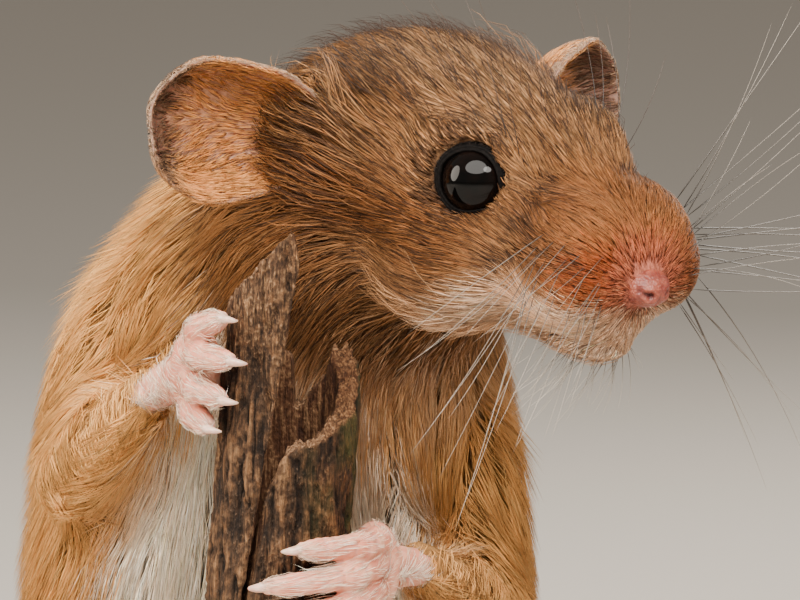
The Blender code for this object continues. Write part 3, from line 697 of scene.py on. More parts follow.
def rooted(ground, count, weight):
    """Roots spread over the ground by the weight of each of its points."""
    rows, faces = ground["at"], ground["tris"]
    a, b, c = (rows[faces[:, k]] for k in range(3))
    share = norms(np.cross(b - a, c - a)) * weight[faces].mean(axis=1)
    chosen = draw.choice(len(faces), count, p=share / share.sum())
    mix = draw.random((count, 2))
    mix = np.where(mix.sum(1, keepdims=True) > 1, 1 - mix, mix)
    mix = np.column_stack([1 - mix.sum(1), mix])
    corners = faces[chosen]

    def read(name):
        values = np.asarray(ground[name], float)
        if values.ndim == 1:
            return (values[corners] * mix).sum(1)
        return (values[corners] * mix[:, :, None]).sum(1)

    return read, read("at"), unit(read("up"))


def on_ground(ground, rows):
    """The nearest places on the ground, and the way up from it there."""
    found = [ground["tree"].find_nearest(p) for p in rows.tolist()]
    return np.array([f[0] for f in found]), np.array([f[1] for f in found])


def nearest(points, rows):
    """For each row, which of the points is the nearest and how far off it is."""
    near = KDTree(len(points))
    for k, point in enumerate(points):
        near.insert(point, k)
    near.balance()
    found = [near.find(row)[1:] for row in rows.tolist()]
    return np.array([f[0] for f in found]), np.array([f[1] for f in found])


def grouped(rows, size):
    """For each root, the middle root of its group of about this size."""
    middles = np.arange(0, len(rows), size)
    return middles[nearest(rows[middles], rows)[0]]


def locks(stations, up, width, thickness):
    """Closed, three-sided locks, pointed at both ends, as arrays of points and faces.

    stations are the points along each lock, from its sunk root to its tip.
    """
    count, steps = stations.shape[:2]
    along = unit(np.gradient(stations, axis=1))
    side = unit(np.cross(along, up[:, None, :]))
    top = np.cross(side, along)
    rings = steps - 2
    points = np.empty((count, rings * 3 + 2, 3))
    points[:, 0] = stations[:, 0]
    points[:, -1] = stations[:, -1]
    for k in range(rings):
        middle = stations[:, k + 1]
        half = side[:, k + 1] * (width[:, k] / 2)[:, None]
        points[:, 3 * k + 1] = middle - half
        points[:, 3 * k + 2] = middle + half
        points[:, 3 * k + 3] = middle + top[:, k + 1] * thickness[:, k][:, None]
    faces = []
    last = 3 * rings + 1
    for a, b in ((0, 1), (1, 2), (2, 0)):
        faces.append((0, 1 + b, 1 + a))
        for k in range(rings - 1):
            low, high = 3 * k + 1, 3 * k + 4
            faces += [(low + a, low + b, high + b), (low + a, high + b, high + a)]
        faces.append((last - 3 + a, last - 3 + b, last))
    return points, np.array(faces)[:, ::-1]


def coat_piece(name, points, faces, colours, place, finish):
    """Locks as one mesh, with their colours and a patch of the bake map for each."""
    count, corners = points.shape[:2]
    mesh = bpy.data.meshes.new(name)
    all_faces = (faces[None] + corners * np.arange(count)[:, None, None]).reshape(-1, 3)
    mesh.vertices.add(count * corners)
    mesh.loops.add(all_faces.size)
    mesh.polygons.add(len(all_faces))
    mesh.vertices.foreach_set("co", points.astype(np.float32).ravel())
    mesh.loops.foreach_set("vertex_index", all_faces.astype(np.int32).ravel())
    mesh.polygons.foreach_set("loop_start", np.arange(0, all_faces.size, 3, dtype=np.int32))
    mesh.update(calc_edges=True)
    add_values(mesh, "marking", colours.reshape(-1, 3))
    level = np.append(0.0, (np.arange(corners - 1) + 2) // 3 * 1.0)
    across = np.array([0.0] + [(-1.0, 1.0, 0.0)[k % 3] for k in range(corners - 2)] + [0.0])
    spot = PATCH_HALF * np.stack([across, 2 * level / level[-1] - 1], 1)
    patch = place[:, None, :] * (1 - 2 * MAP_MARGIN) + MAP_MARGIN + spot[None]
    chart = mesh.uv_layers.new(name="OFBake")
    chart.data.foreach_set("uv", patch.reshape(-1, 2)[all_faces.ravel()]
                           .astype(np.float32).ravel())
    add_piece(name, mesh, finish)


fur, tree, shader = new_finish("fur", (0.4, 0.2, 0.1), 0.5, Specular_IOR_Level=0.14)
marked(tree, shader, grain(tree, 0.0004, detail=2), (0.3, (0.86, 0.84, 0.82)),
       (0.7, (1, 1, 1)))
bump(tree, shader, grain(tree, 0.00005, (1, 1, 3), 2), 0.00001, 0.4)


def at_roots(rule, root):
    """A length or a width: the same for all locks, or worked out from their roots."""
    return rule(root) if callable(rule) else rule


# For locks of 3 and of 4 points: the share of the length at each point, its height over
# the ground, its pull to the middle lock of its group, and its width
LOCK_SHAPES = {3: ((0.0, 0.45, 1.0), (0.0, 0.62, 1.0), (0.0, 0.15, 0.45), (1.0,)),
               4: ((0.0, 0.3, 0.65, 1.0), (0.0, 0.5, 0.85, 1.0), (0.0, 0.12, 0.3, 0.48),
                   (1.0, 0.85))}
ROOT_SUNK = 0.06


def laid_locks(ground, count, weight, steps, length, width, group, loose, raised, lowest):
    """Locks laid along the ground; returns their reader, roots, points and faces."""
    shares, rises, pulls, widths = LOCK_SHAPES[steps]
    read, root, up = rooted(ground, count, weight)
    wander = np.stack([mottle(root + shift, 1.1) for shift in (0, 40, 80)], 1)
    heading = laid_flat(read("lie") + loose * (1.4 * wander + draw.normal(0, 0.6, root.shape)),
                        up)
    length = at_roots(length, root) * draw.uniform(0.72, 1.2, count)
    lift = np.maximum(read("depth"), 0.05) * raised * draw.uniform(lowest, 1.1, count)
    stations = np.empty((count, steps, 3))
    stations[:, 0] = root - up * ROOT_SUNK
    spot = root
    for k in range(1, steps):
        reach = length * (shares[k] - shares[k - 1])
        spot, up_now = on_ground(ground, spot + heading * reach[:, None])
        heading = laid_flat(heading, up_now)
        stations[:, k] = spot + up_now * (lift * rises[k])[:, None]
    middle = grouped(root, group)
    pull = np.array(pulls)[None, :, None] * draw.uniform(0.4, 1.1, count)[:, None, None]
    stations = stations + (stations[middle] - stations) * pull
    size = at_roots(width, root) * draw.uniform(0.75, 1.25, count)
    thick = size[:, None] * np.array(widths)
    points, faces = locks(stations, up, thick, thick * 0.45)
    return read, root, points, faces


def coloured(colour, dark_share, steps, brightness, root_tone):
    """Colours for every point of each lock: dim at the root, and some tipped with black."""
    count = len(colour)
    tone = draw.normal(0, 1, count)[:, None]
    warm = draw.normal(0, 1, count)[:, None]
    colour = colour * np.exp(brightness * tone) * (1 + 0.06 * warm * np.array((1, 0, -1)))
    white = gently(colour.mean(1), 0.5, 0.66)
    dark = draw.random(count) < dark_share * (1 - white)
    root = blended(colour * root_tone, DARK, np.where(dark, 0.7, 0.15))
    root = blended(root, colour * 0.85, white)
    tip = blended(colour * 1.15, PALE_TIP, draw.uniform(0.0, 0.3, count) * (1 - white))
    tip = np.where(dark[:, None], GUARD_TIP, tip)
    middle = np.where(dark[:, None], colour * 0.3 + DARK * 0.5, colour)
    rings = [middle] if steps == 3 else [middle, (middle + tip) / 2]
    rows = [root] + [ring for ring in rings for _ in range(3)] + [tip]
    return np.clip(np.stack(rows, 1), 0, 1)


def grow(name, ground, count, weight, length, width, group, tint, unwrap, steps=3,
         loose=0.14, raised=1.0, lowest=0.6, brightness=0.22, root_tone=0.4, most=190000):
    """Locks grown on the ground, in pieces of neighbours of at most so many triangles.

    tint and unwrap are functions of the ground's reader and of the roots. They give the
    colours and the places in the bake map, and each piece has its own stretch of the map.
    """
    read, root, points, faces = laid_locks(ground, count, weight, steps, length, width,
                                           group, loose, raised, lowest)
    colours = coloured(*tint(read, root), steps, brightness, root_tone)
    place = unwrap(read, root)
    pieces = math.ceil(len(points) * len(faces) / most)
    for k, rows in enumerate(np.array_split(np.argsort(place[:, 0]), pieces)):
        low, high = place[rows].min(0), place[rows].max(0)
        coat_piece("%s_%d" % (name, k + 1), points[rows], faces, colours[rows],
                   (place[rows] - low) / (high - low), fur)


def by_markings_and_shade(spread=0.0):
    """A tint by the markings and painted shade, at each root or at a place a little off it."""
    def tint(read, root):
        if spread:
            root = root + draw.normal(0, spread, root.shape)
        return markings_and_shade(root, read("head"), read("limb"))
    return tint


def plain(colour, dark_share=0.0):
    """The same tint for every lock."""
    return lambda read, root: (np.tile(colour, (len(root), 1)), dark_share)


def around_head(read, root):
    """The head's skin unwrapped: the turn round the line of the head, and the way along."""
    head = in_head(root)
    return np.stack([np.arctan2(head[:, 1], head[:, 2] + 2.8), head[:, 0]], 1)


def around_body(read, root):
    off = root[:, :2] - BODY_MIDDLE
    return np.stack([np.arctan2(off[:, 0], off[:, 1]), root[:, 2]], 1)


hide_ground = ground_of(hide, lie, fur_depth, head=head_share, limb=limb_share)
skin = bmesh.new()
skin.from_mesh(hide)
skin = reworked(skin, ("DECIMATE", {"ratio": SKIN_TRIANGLES / len(hide_ground["tris"])}))
add_piece("skin", skin, hide_finish, [n for n in FLESH if n != "nose"])
hide_in_head = in_head(hide_ground["at"])
bald = gently(eye_distance(hide_in_head), 1.72, 1.9)
for side in EYE_AT:
    rise, outward = off_eye(hide_in_head, side)
    bald *= 1 - (1 - gently(norms(outward), 1.62, 1.8)) * gently(rise, -0.5, 0.2)
bald *= 1 - np.exp(-(mouth_distance(hide_in_head) / 0.12) ** 2) * near_mouth
bald *= gently(norms(hide_in_head - NOSE_AT), 0.8, 1.1)
bald *= 1 - bare
only_head = evened(on_head.astype(float), edges, 4)
furred_head = bald * only_head


def face_length(root):
    head = in_head(root)
    length = np.interp(head[:, 0], (-14, -8, -3, 1, 4, 6, 7.5),
                       (3.4, 2.9, 2.4, 1.9, 1.35, 0.95, 0.55))
    length = length * (1 + 0.5 * gently(-head[:, 2], 5.5, 8.0))
    return length * np.interp(eye_distance(head), (1.9, 2.8, 4.0), (0.4, 0.75, 1.0))


def face_width(root):
    return np.interp(in_head(root)[:, 0], (-14, 0, 7), (0.058, 0.048, 0.033))


ELBOWS = (np.array((-8.9, -1.4, 53.6)), np.array((9.6, -1.2, 47.2)))


def body_length(root):
    length = np.interp(root[:, 2], (28, 36, 45, 62, 70), (3.5, 4.5, 5.0, 4.4, 3.4))
    near = np.minimum(*[norms(root - elbow) for elbow in ELBOWS])
    return length * (1 - 0.6 * np.exp(-(near / 4.5) ** 2))


grow("coat_head", hide_ground, 94000, furred_head, face_length, face_width,
     11, by_markings_and_shade(0.28), around_head, brightness=0.28, root_tone=0.22, most=185000)
grow("coat_body", hide_ground, 112000, bald * (1 - only_head), body_length,
     0.052, 9, by_markings_and_shade(0.6), around_body, loose=0.09, lowest=0.8, brightness=0.12,
     root_tone=0.75)

# Longer dark guard hairs, which stand a little clear of the crown and the back
crown_weight = bald * gently(hide_in_head[:, 2], -1.5, 2.0) * gently(-hide_in_head[:, 0], -5, 1)
crown_weight = crown_weight * gently(hide_ground["at"][:, 2], 58, 64)
grow("guard_hairs", hide_ground, 1700, crown_weight,
     lambda root: 0.9 * face_length(root), 0.03, 1, plain(DARK * 2.0, 1.0), around_head,
     steps=4, loose=0.3, raised=1.5)


# Long pale hairs that hang loose from the lower edge of the cheek and the lip
def fringe_tint(read, root):
    return blended(markings_and_shade(root, read("head"), read("limb"))[0], CREAM, 0.45), 0.0


fringe_weight = furred_head * gently(-np.abs(hide_in_head[:, 2] + 7.0), -1.5, -0.3)
fringe_weight = fringe_weight * gently(hide_in_head[:, 0], -3.5, -0.5)
grow("cheek_fringe", hide_ground, 900, fringe_weight, 2.9, 0.026, 1, fringe_tint,
     around_head, steps=4, loose=0.35, raised=2.2)

# Tufts in front of the ears, which stand out over the open edge of each ear
tuft_place = np.abs(hide_in_head) * (0, 1, 0) + hide_in_head * (1, 0, 1)
from_tuft = norms(tuft_place - (-7.2, 6.2, -2.0))
tuft_weight = furred_head * np.exp(-(from_tuft / 1.6) ** 2)
grow("ear_tufts", hide_ground, 1500, tuft_weight, 3.3, 0.042, 5,
     by_markings_and_shade(), around_head, steps=4, loose=0.16, raised=2.1, brightness=0.26,
     root_tone=0.3)


# The eyes. Large, black, wet and bulging, with the whole of the ball made and about
# a third of it showing.

EYE_RADIUS = 1.6
SIDES = (("left", 1), ("right", -1))
eye_gloss, tree, shader = new_finish("wet_eye", (0.004, 0.003, 0.003), 0.03, IOR=1.25)
depths = grain(tree, 0.0009)
painted(tree, shader, depths, (0.35, (0.001, 0.001, 0.001)), (0.7, (0.004, 0.002, 0.0015)))
for label, side in SIDES:
    ball = bmesh.new()
    bmesh.ops.create_uvsphere(ball, u_segments=48, v_segments=32, radius=EYE_RADIUS,
                              matrix=Matrix.Translation(from_head(EYE_AT[side])))
    add_piece("eye_ball_" + label, settled(ball), eye_gloss, ("eye_" + label,))


# The lids. A narrow black rim of bare skin round each eye, thick above, thin below,
# drawn out to a damp corner towards the nose.

LID_SIDES = 64
# Rings from the rim against the ball out over the lid and back under it: how far each is
# from the eye's axis and above its middle
LID_ROWS = ((1.33, 0.86), (1.35, 0.96), (1.39, 1.01), (1.44, 1.01), (1.48, 0.97), (1.51, 0.94),
            (1.55, 0.97), (1.6, 0.96), (1.66, 0.9), (1.74, 0.78), (1.86, 0.56), (1.9, 0.36),
            (1.66, 0.26), (1.42, 0.6))
lid_skin, tree, shader = new_finish("lid_skin", (0.02, 0.015, 0.013), 0.6,
                                    Specular_IOR_Level=0.05)
folds = grain(tree, 0.00014, detail=4)
painted(tree, shader, folds, (0.35, (0.0012, 0.001, 0.001)), (0.72, (0.006, 0.0045, 0.004)))
bump(tree, shader, folds, 0.00003, 0.7)


def seen_along(*axes):
    """An unwrap of a small piece, seen flat."""
    return lambda read, root: root[:, list(axes)]


def banded(form, loops, ends_meet=False):
    """The mesh of quads between loops of points, whose ends meet or are capped."""
    for first, second in zip(loops, loops[1:] + (loops[:1] if ends_meet else [])):
        for corners in zip(first, first[1:] + first[:1], second[1:] + second[:1], second):
            form.faces.new(corners)
    if not ends_meet:
        form.faces.new(loops[0])
        form.faces.new(loops[-1])
    bmesh.ops.recalc_face_normals(form, faces=form.faces)
    return settled(form)


for label, side in SIDES:
    out, corner, up = eye_axes(side)
    lid = bmesh.new()
    loops = []
    for reach, rise in LID_ROWS:
        loop = []
        for k in range(LID_SIDES):
            turn = 2 * math.pi * k / LID_SIDES
            drawn = max(0.0, math.cos(turn + 0.12)) ** 16
            lower = max(0.0, math.sin(-turn) * math.cos(turn)) * 2
            across = reach * (1 + 0.03 * math.cos(2 * turn)) + 0.3 * drawn - 0.09 * lower
            lift = rise + 0.04 * math.sin(turn) - 0.3 * drawn
            place = (EYE_AT[side] + out * lift
                     + across * (corner * math.cos(turn) + up * math.sin(turn)))
            loop.append(lid.verts.new(from_head(place)))
        loops.append(loop)
    lid = banded(lid, loops, ends_meet=True)
    rise, outward = off_eye(in_head(places(lid)), side)
    ground = ground_of(lid, outward @ HEAD_TURN.T, np.full(len(rise), 0.07))
    edge_weight = gently(norms(outward), 1.46, 1.6) * gently(rise, 0.6, 0.8)
    grow("lid_hairs_" + label, ground, 900, edge_weight, 0.42, 0.024, 3,
         plain((0.02, 0.015, 0.013)), seen_along(0, 2), loose=0.25)
    add_piece("lids_" + label, lid, lid_skin)


# The nose. A small bare pad at the tip of the muzzle, pink and finely pebbled, with a
# comma-shaped nostril on each side and a groove down to the lip, both darkened with
# painted shade.

pad = bmesh.new()
bmesh.ops.create_uvsphere(pad, u_segments=96, v_segments=64, radius=1.0)
rows = np.array([v.co for v in pad.verts]) * (1.02, 1.08, 0.84)
swelling = 0.012 * mottle(rows, 0.11)
for side in (1, -1):
    for ahead, out, up, deep, wide in ((0.86, 0.44, -0.04, 0.34, 0.16),
                                       (0.72, 0.66, 0.02, 0.24, 0.14),
                                       (0.52, 0.84, 0.12, 0.12, 0.12)):
        off = norms(rows - (ahead, side * out, up))
        swelling -= deep * np.exp(-(off / wide) ** 2)
        ring = np.exp(-((off - 1.9 * wide) / (0.7 * wide)) ** 2)
        swelling += 0.05 * ring * (deep > 0.3)
groove = np.exp(-(rows[:, 1] / 0.07) ** 2) * gently(rows[:, 0], 0.2, 0.6)
swelling -= 0.09 * groove * gently(-rows[:, 2], -0.25, 0.2)
hollow_shade = np.clip(-swelling / 0.2, 0, 1)
rows = rows * (1 + swelling / norms(rows))[:, None]
nose_pad = settled(pad)
set_places(nose_pad, from_head(rows + NOSE_AT))
nose_colour = blended((0.3, 0.078, 0.046), (0.2, 0.04, 0.026),
                      gently(mottle(rows, 0.5), -0.3, 0.5))
# Painted shade: the nostrils and the groove darkened where they dip into the pad
nose_colour = blended(nose_colour, (0.1, 0.016, 0.014), gently(hollow_shade, 0.15, 0.8))
add_values(nose_pad, "marking", nose_colour)


def cells(tree, fineness):
    return add_node(tree, "ShaderNodeTexVoronoi", {"Vector": object_place(tree),
                                                   "Scale": fineness}).outputs["Distance"]


nose_skin, tree, shader = new_finish("nose_skin", (0.5, 0.2, 0.15), 0.5,
                                     Subsurface_Weight=0.25, Subsurface_Scale=0.0006)
leather = cells(tree, 9000.0)
marked(tree, shader, leather, (0.0, (1, 1, 1)), (0.7, (0.72, 0.6, 0.58)))
bump(tree, shader, leather, -0.00004, 0.7)
add_piece("nose_pad", nose_pad, nose_skin, ("nose",))


# The ears. Thin rounded cups of bare, brownish skin, held out from the head and open to
# the front, with a pale rolled edge and short fur growing from the base over both faces.

EAR_AT = {1: (-9.9, 10.2, -2.3), -1: (-10.8, -9.6, -1.1)}
EAR_WIDTH = 3.2
EAR_LENGTH = 3.6
EAR_SIDES = 72
EDGE_ROW = 8
# Rings from the middle of the ear's back over its edge to the middle of its face: share of
# the ear's reach, and depth behind its mouth
EAR_ROWS = ((0.04, 2.25), (0.3, 2.2), (0.55, 1.98), (0.76, 1.48), (0.88, 0.96), (0.95, 0.48),
            (0.99, 0.1), (1.0, -0.06), (0.985, -0.14), (0.962, -0.06), (0.92, 0.3),
            (0.84, 0.84), (0.7, 1.33), (0.5, 1.66), (0.25, 1.85), (0.04, 1.9))

ear_skin, tree, shader = new_finish("ear_skin", (0.3, 0.16, 0.12), 0.62,
                                    Subsurface_Weight=0.2, Subsurface_Scale=0.0008)
down = grain(tree, 0.0002, detail=4)
marked(tree, shader, down, (0.3, (0.62, 0.56, 0.54)), (0.7, (1, 1, 1)))
bump(tree, shader, down, 0.00006, 0.8)


def ear_tint(read, root):
    edge = gently(read("share") * read("outward") + draw.normal(0, 0.06, len(root)), 0.15, 0.5)
    return blended((0.66, 0.28, 0.085), (0.14, 0.078, 0.048), edge), 0.06 + 0.2 * edge


def ear_unwrap(read, root):
    across = read("inner") * 0.5 + 0.25 + 0.24 * read("outward") * read("share")
    return np.stack([across, (root[:, 2] - root[:, 2].min()) / np.ptp(root[:, 2])], 1)


# The rim's hairs: pale brown, lighter along the top with painted light from above, and orange
# lower down
def rim_tint(read, root):
    lower = gently(-(root[:, 2] - root[:, 2].mean()), -0.5, 1.5)
    return blended((0.5, 0.33, 0.21), (0.45, 0.2, 0.075), lower), 0.0


for label, side in SIDES:
    out = Vector((-0.34, side * 0.93, 0.1)).normalized()
    face = Vector((0.86, side * 0.45, 0.12))
    face = (face - out * face.dot(out)).normalized()
    across = face.cross(out)
    if across.z < 0:
        across = -across
    cup = bmesh.new()
    loops, facts = [], []
    for number, (share, deep) in enumerate(EAR_ROWS):
        loop = []
        for k in range(EAR_SIDES):
            turn = 2 * math.pi * k / EAR_SIDES
            reach = EAR_LENGTH if math.cos(turn) > 0 else EAR_LENGTH * 1.35
            uneven = 1 + 0.025 * math.sin(3 * turn + side) + 0.015 * math.sin(7 * turn)
            flare = 0.35 * share ** 3 * math.sin(2 * turn + 0.6)
            fold = 0.12 * math.sin(9 * turn) * share ** 2 * (1 - share) * 4
            place = (Vector(EAR_AT[side]) - face * (deep + flare + fold)
                     + out * share * reach * uneven * math.cos(turn)
                     + across * share * EAR_WIDTH * uneven * math.sin(turn))
            loop.append(cup.verts.new(HEAD_FRAME @ place))
            facts.append((share, math.cos(turn), math.sin(turn), number > EDGE_ROW))
        loops.append(loop)
    ear = banded(cup, loops)
    share, outward, upright, inner = np.array(facts).T
    skin_colour = blended((0.55, 0.27, 0.15), (0.2, 0.1, 0.065),
                          gently(share * (0.6 + 0.4 * outward), 0.45, 0.85))
    skin_colour = blended(skin_colour, (0.4, 0.22, 0.17),
                          0.6 * gently(-upright, 0.3, 0.9) * gently(share, 0.3, 0.7))
    skin_colour = blended(skin_colour, (0.2, 0.1, 0.06), 0.7 * (1 - inner))
    skin_colour = blended(skin_colour, (0.34, 0.21, 0.15), gently(share, 0.95, 0.99))
    add_values(ear, "marking", skin_colour)
    flow = (np.array(out) + np.outer(upright, across) * 0.55) @ HEAD_TURN.T
    thinning = gently(0.9 - share * (0.55 + 0.45 * outward), 0.0, 0.4)
    down_weight = gently(1.02 - share, 0.02, 0.1) * (0.45 + 0.55 * thinning)
    down_weight = down_weight * (1 + 2.5 * gently(-upright * share, 0.4, 0.8))
    ground = ground_of(ear, flow, np.where(inner, 0.3, 0.35) * (1.02 - share * 0.6),
                       share=share, outward=outward, inner=inner)
    grow("ear_fur_" + label, ground, 7500, down_weight, 1.1, 0.04, 7,
         ear_tint, ear_unwrap, loose=0.12)
    rim_weight = gently(share, 0.94, 0.98) * (1 + 1.5 * gently(-upright, 0.2, 0.8))
    rim_lie = (np.array(out) * outward[:, None] + np.outer(upright, across)) @ HEAD_TURN.T
    ground["lie"] = laid_flat(rim_lie + 0.3 * ground["up"], np.zeros_like(rim_lie))
    grow("ear_rim_" + label, ground, 2200, rim_weight, 0.7, 0.026, 5,
         rim_tint, seen_along(0, 2), loose=0.3)
    add_piece("ear_cup_" + label, ear, ear_skin, ("ear_" + label,))


# The hands and feet. Small bare pink paws, each finger jointed and padded, closed round
# the stem, with fine white hairs along their backs. The wrists run up into the fur.

# Each paw: the palm's angle and height on the stem, its half sizes, the fingers' radius,
# the wrist's places and radii, and every finger's angle and height at its root and its tip
PAWS = {
    "hand_right": ((163, 58.8), (1.1, 1.5, 1.95), 0.6,
                   ((-6.0, -4.5, 57.2, 0.75),),
                   ((176, 60.5, 220, 61.5), (176, 59.8, 230, 59.7),
                    (176, 58.6, 225, 58.0), (174, 57.5, 212, 56.7))),
    "hand_left": ((17, 50.3), (1.1, 1.5, 1.95), 0.6,
                  ((6.9, -4.5, 49.8, 0.75),),
                  ((4, 51.6, -79, 51.7), (4, 50.7, -99, 50.1),
                   (4, 49.6, -95, 48.6), (6, 48.6, -73, 47.3))),
    "foot_right": ((160, 36.9), (0.95, 1.3, 2.0), 0.52,
                   ((-8.8, 1.4, 31.9, 1.15), (-8.0, -0.3, 33.0, 1.2), (-6.6, -3.1, 34.9, 1.1)),
                   ((164, 38.0, 205, 39.8), (168, 37.5, 232, 38.5), (168, 36.8, 240, 37.0),
                    (168, 36.0, 232, 35.5), (164, 35.4, 204, 34.2))),
    "foot_left": ((20, 33.5), (0.95, 1.3, 2.0), 0.52,
                  ((8.7, 1.4, 28.5, 1.15), (7.9, -0.3, 29.7, 1.2), (6.2, -3.1, 31.6, 1.1)),
                  ((16, 34.6, -25, 36.4), (12, 34.1, -52, 35.1), (12, 33.4, -60, 33.6),
                   (12, 32.6, -52, 32.1), (16, 32.0, -24, 30.8))),
}
PADS_AWAY = STEM_RADIUS + 0.35
# Along a finger: share of its length, height over the pads and thickness, in radii
FINGER_ROWS = ((0.0, 1.2, 1.0), (0.14, 1.4, 1.04), (0.3, 1.42, 0.92), (0.44, 1.36, 1.06),
               (0.56, 1.18, 0.94), (0.7, 1.06, 0.86), (0.8, 1.05, 0.86), (0.9, 1.02, 0.72),
               (1.0, 1.0, 0.48))
# Along a claw: degrees on from the fingertip, height over the pads in the finger's radii,
# and the claw's radius on a finger that is 0.6 in radius
CLAW_ROWS = ((-6, 1.1, 0.2), (-1, 1.22, 0.22), (3, 1.2, 0.19), (5.8, 1.08, 0.145),
             (8.0, 0.9, 0.1), (9.6, 0.68, 0.035))


def on_stem(angle, height, away):
    """A point at a distance from the leaning axis of the stem."""
    turn = math.radians(angle)
    axis = (height - STEM_UPRIGHT_AT) * LEAN
    return AXIS_PLACE + Vector((axis + away * math.cos(turn), away * math.sin(turn), height))


def eased(rows, steps):
    """Rows of numbers with more rows let in between on a smooth curve through them."""
    rows = np.array(rows, float)
    ends = np.vstack([2 * rows[0] - rows[1], rows, 2 * rows[-1] - rows[-2]])
    made = []
    for k in range(1, len(ends) - 2):
        a, b, c, d = ends[k - 1:k + 3]
        for t in np.arange(steps) / steps:
            made.append(0.5 * (2 * b + (c - a) * t + (2 * a - 5 * b + 4 * c - d) * t * t
                               + (3 * b - a - 3 * c + d) * t ** 3))
    return np.array(made + [rows[-1]])


def rod(rows, sides=3):
    """A bmesh of a round rod through rows of (x, y, z, radius), closed at its ends."""
    line = bpy.data.curves.new("rod", "CURVE")
    line.dimensions = "3D"
    line.bevel_depth = 1.0
    line.bevel_resolution = sides
    line.use_fill_caps = True
    spline = line.splines.new("POLY")
    spline.points.add(len(rows) - 1)
    for point, row in zip(spline.points, rows):
        point.co = (*row[:3], 1)
        point.radius = row[3]
    holder = bpy.data.objects.new("rod", line)
    mesh = bpy.data.meshes.new_from_object(holder)
    made = bmesh.new()
    made.from_mesh(mesh)
    bmesh.ops.remove_doubles(made, verts=made.verts, dist=0.0005)
    bmesh.ops.recalc_face_normals(made, faces=made.faces)
    bpy.data.objects.remove(holder)
    bpy.data.curves.remove(line)
    bpy.data.meshes.remove(mesh)
    return made


paw_skin, tree, shader = new_finish("paw_skin", (0.72, 0.42, 0.36), 0.5,
                                    Subsurface_Weight=0.3, Subsurface_Scale=0.0007)
marked(tree, shader, grain(tree, 0.0011, detail=2), (0.35, (1.0, 0.86, 0.82)),
       (0.65, (1, 1, 1)))
bump(tree, shader, grain(tree, 0.00012, detail=4), 0.00005, 0.6)
horn, tree, shader = new_finish("claw_horn", (0.72, 0.6, 0.5), 0.3,
                                Subsurface_Weight=0.3, Subsurface_Scale=0.0004)
painted(tree, shader, grain(tree, 0.0001, (3, 3, 1)), (0.35, (0.52, 0.33, 0.25)),
        (0.7, (0.72, 0.52, 0.41)))

for name, (palm_at, pad_size, radius, wrist, digits) in PAWS.items():
    palm = on_stem(*palm_at, PADS_AWAY + pad_size[0] * 0.9)
    ball = bmesh.new()
    bmesh.ops.create_icosphere(
        ball, subdivisions=4, radius=1.0,
        matrix=Matrix.Translation(palm) @ Matrix.Rotation(math.radians(palm_at[0]), 4, "Z")
        @ Matrix.Diagonal((*pad_size, 1)))
    forms = [ball, rod(eased((*wrist, (*palm, 1.1)), 6))]
    claws, lines = [], []
    for root_angle, root_height, tip_angle, tip_height in digits:
        rows = []
        for share, away, thick in FINGER_ROWS:
            place = on_stem(root_angle + (tip_angle - root_angle) * share,
                            root_height + (tip_height - root_height) * share,
                            PADS_AWAY + radius * away)
            rows.append((*place, radius * thick))
        rows = eased(rows, 5)
        lines.append(rows)
        forms.append(rod(rows, 4))
        turn = 1 if tip_angle > root_angle else -1
        claw = [(*on_stem(tip_angle + turn * on, tip_height - 0.01 * on,
                          PADS_AWAY + radius * away), thick * radius / 0.6)
                for on, away, thick in CLAW_ROWS]
        claws.append(rod(eased(claw, 4), 3))
    paw = remeshed(forms, 0.1, 4)
    rows, up = places(paw), normals(paw)
    from_stem = np.hypot(*off_axis(rows).T)
    lines = np.concatenate(lines)
    place_on, off = nearest(lines[:, :3], rows)
    finger_rows = len(lines) // len(digits)
    along = place_on % finger_rows / finger_rows
    wrinkles = np.sin(along * 75.0) * gently(-off, -1.0, -0.5) * gently(along, 0.05, 0.3)
    set_places(paw, rows + up * (0.012 * wrinkles + 0.02 * mottle(rows, 0.4))[:, None])
    tip = gently(along, 0.75, 1.0) * gently(-off, -1.0, -0.5)
    paw_colour = blended((0.64, 0.25, 0.16), (0.76, 0.38, 0.26),
                         gently(mottle(rows, 0.8), -0.3, 0.4))
    paw_colour = blended(paw_colour, (0.8, 0.5, 0.38), 0.75 * tip)
    paw_colour = blended(paw_colour, (0.6, 0.3, 0.25), 0.5 * gently(-wrinkles, 0.4, 1))
    add_values(paw, "marking", paw_colour)
    # Fine white hairs along the backs of the fingers and the wrist
    step = np.roll(lines[:, :3], -1, axis=0) - lines[:, :3]
    step[finger_rows - 1::finger_rows] = 0
    flow = evened(step[place_on] + 1e-4, rows_of(paw.edges, "vertices", 2, np.int32), 8)
    weight = gently(from_stem, PADS_AWAY + 0.9 * radius, PADS_AWAY + 1.5 * radius)
    weight = weight * (1 - 0.95 * gently(along, 0.8, 0.93))
    grow("hairs_" + name, ground_of(paw, flow, np.full(len(rows), 0.14)), 1500,
         weight + 0.002, 1.5, 0.024, 9, plain((0.84, 0.64, 0.5)), seen_along(1, 2), loose=0.1,
         raised=1.5)
    add_piece("paw_" + name, paw, paw_skin, (name,))
    add_piece("claws_" + name, settled(joined(claws)), horn)


# The tail. Long, thin and bare, ringed with fine scales, brown above and paler below. It
# hangs from the rump, then winds one and a half times round the stem and grips it.

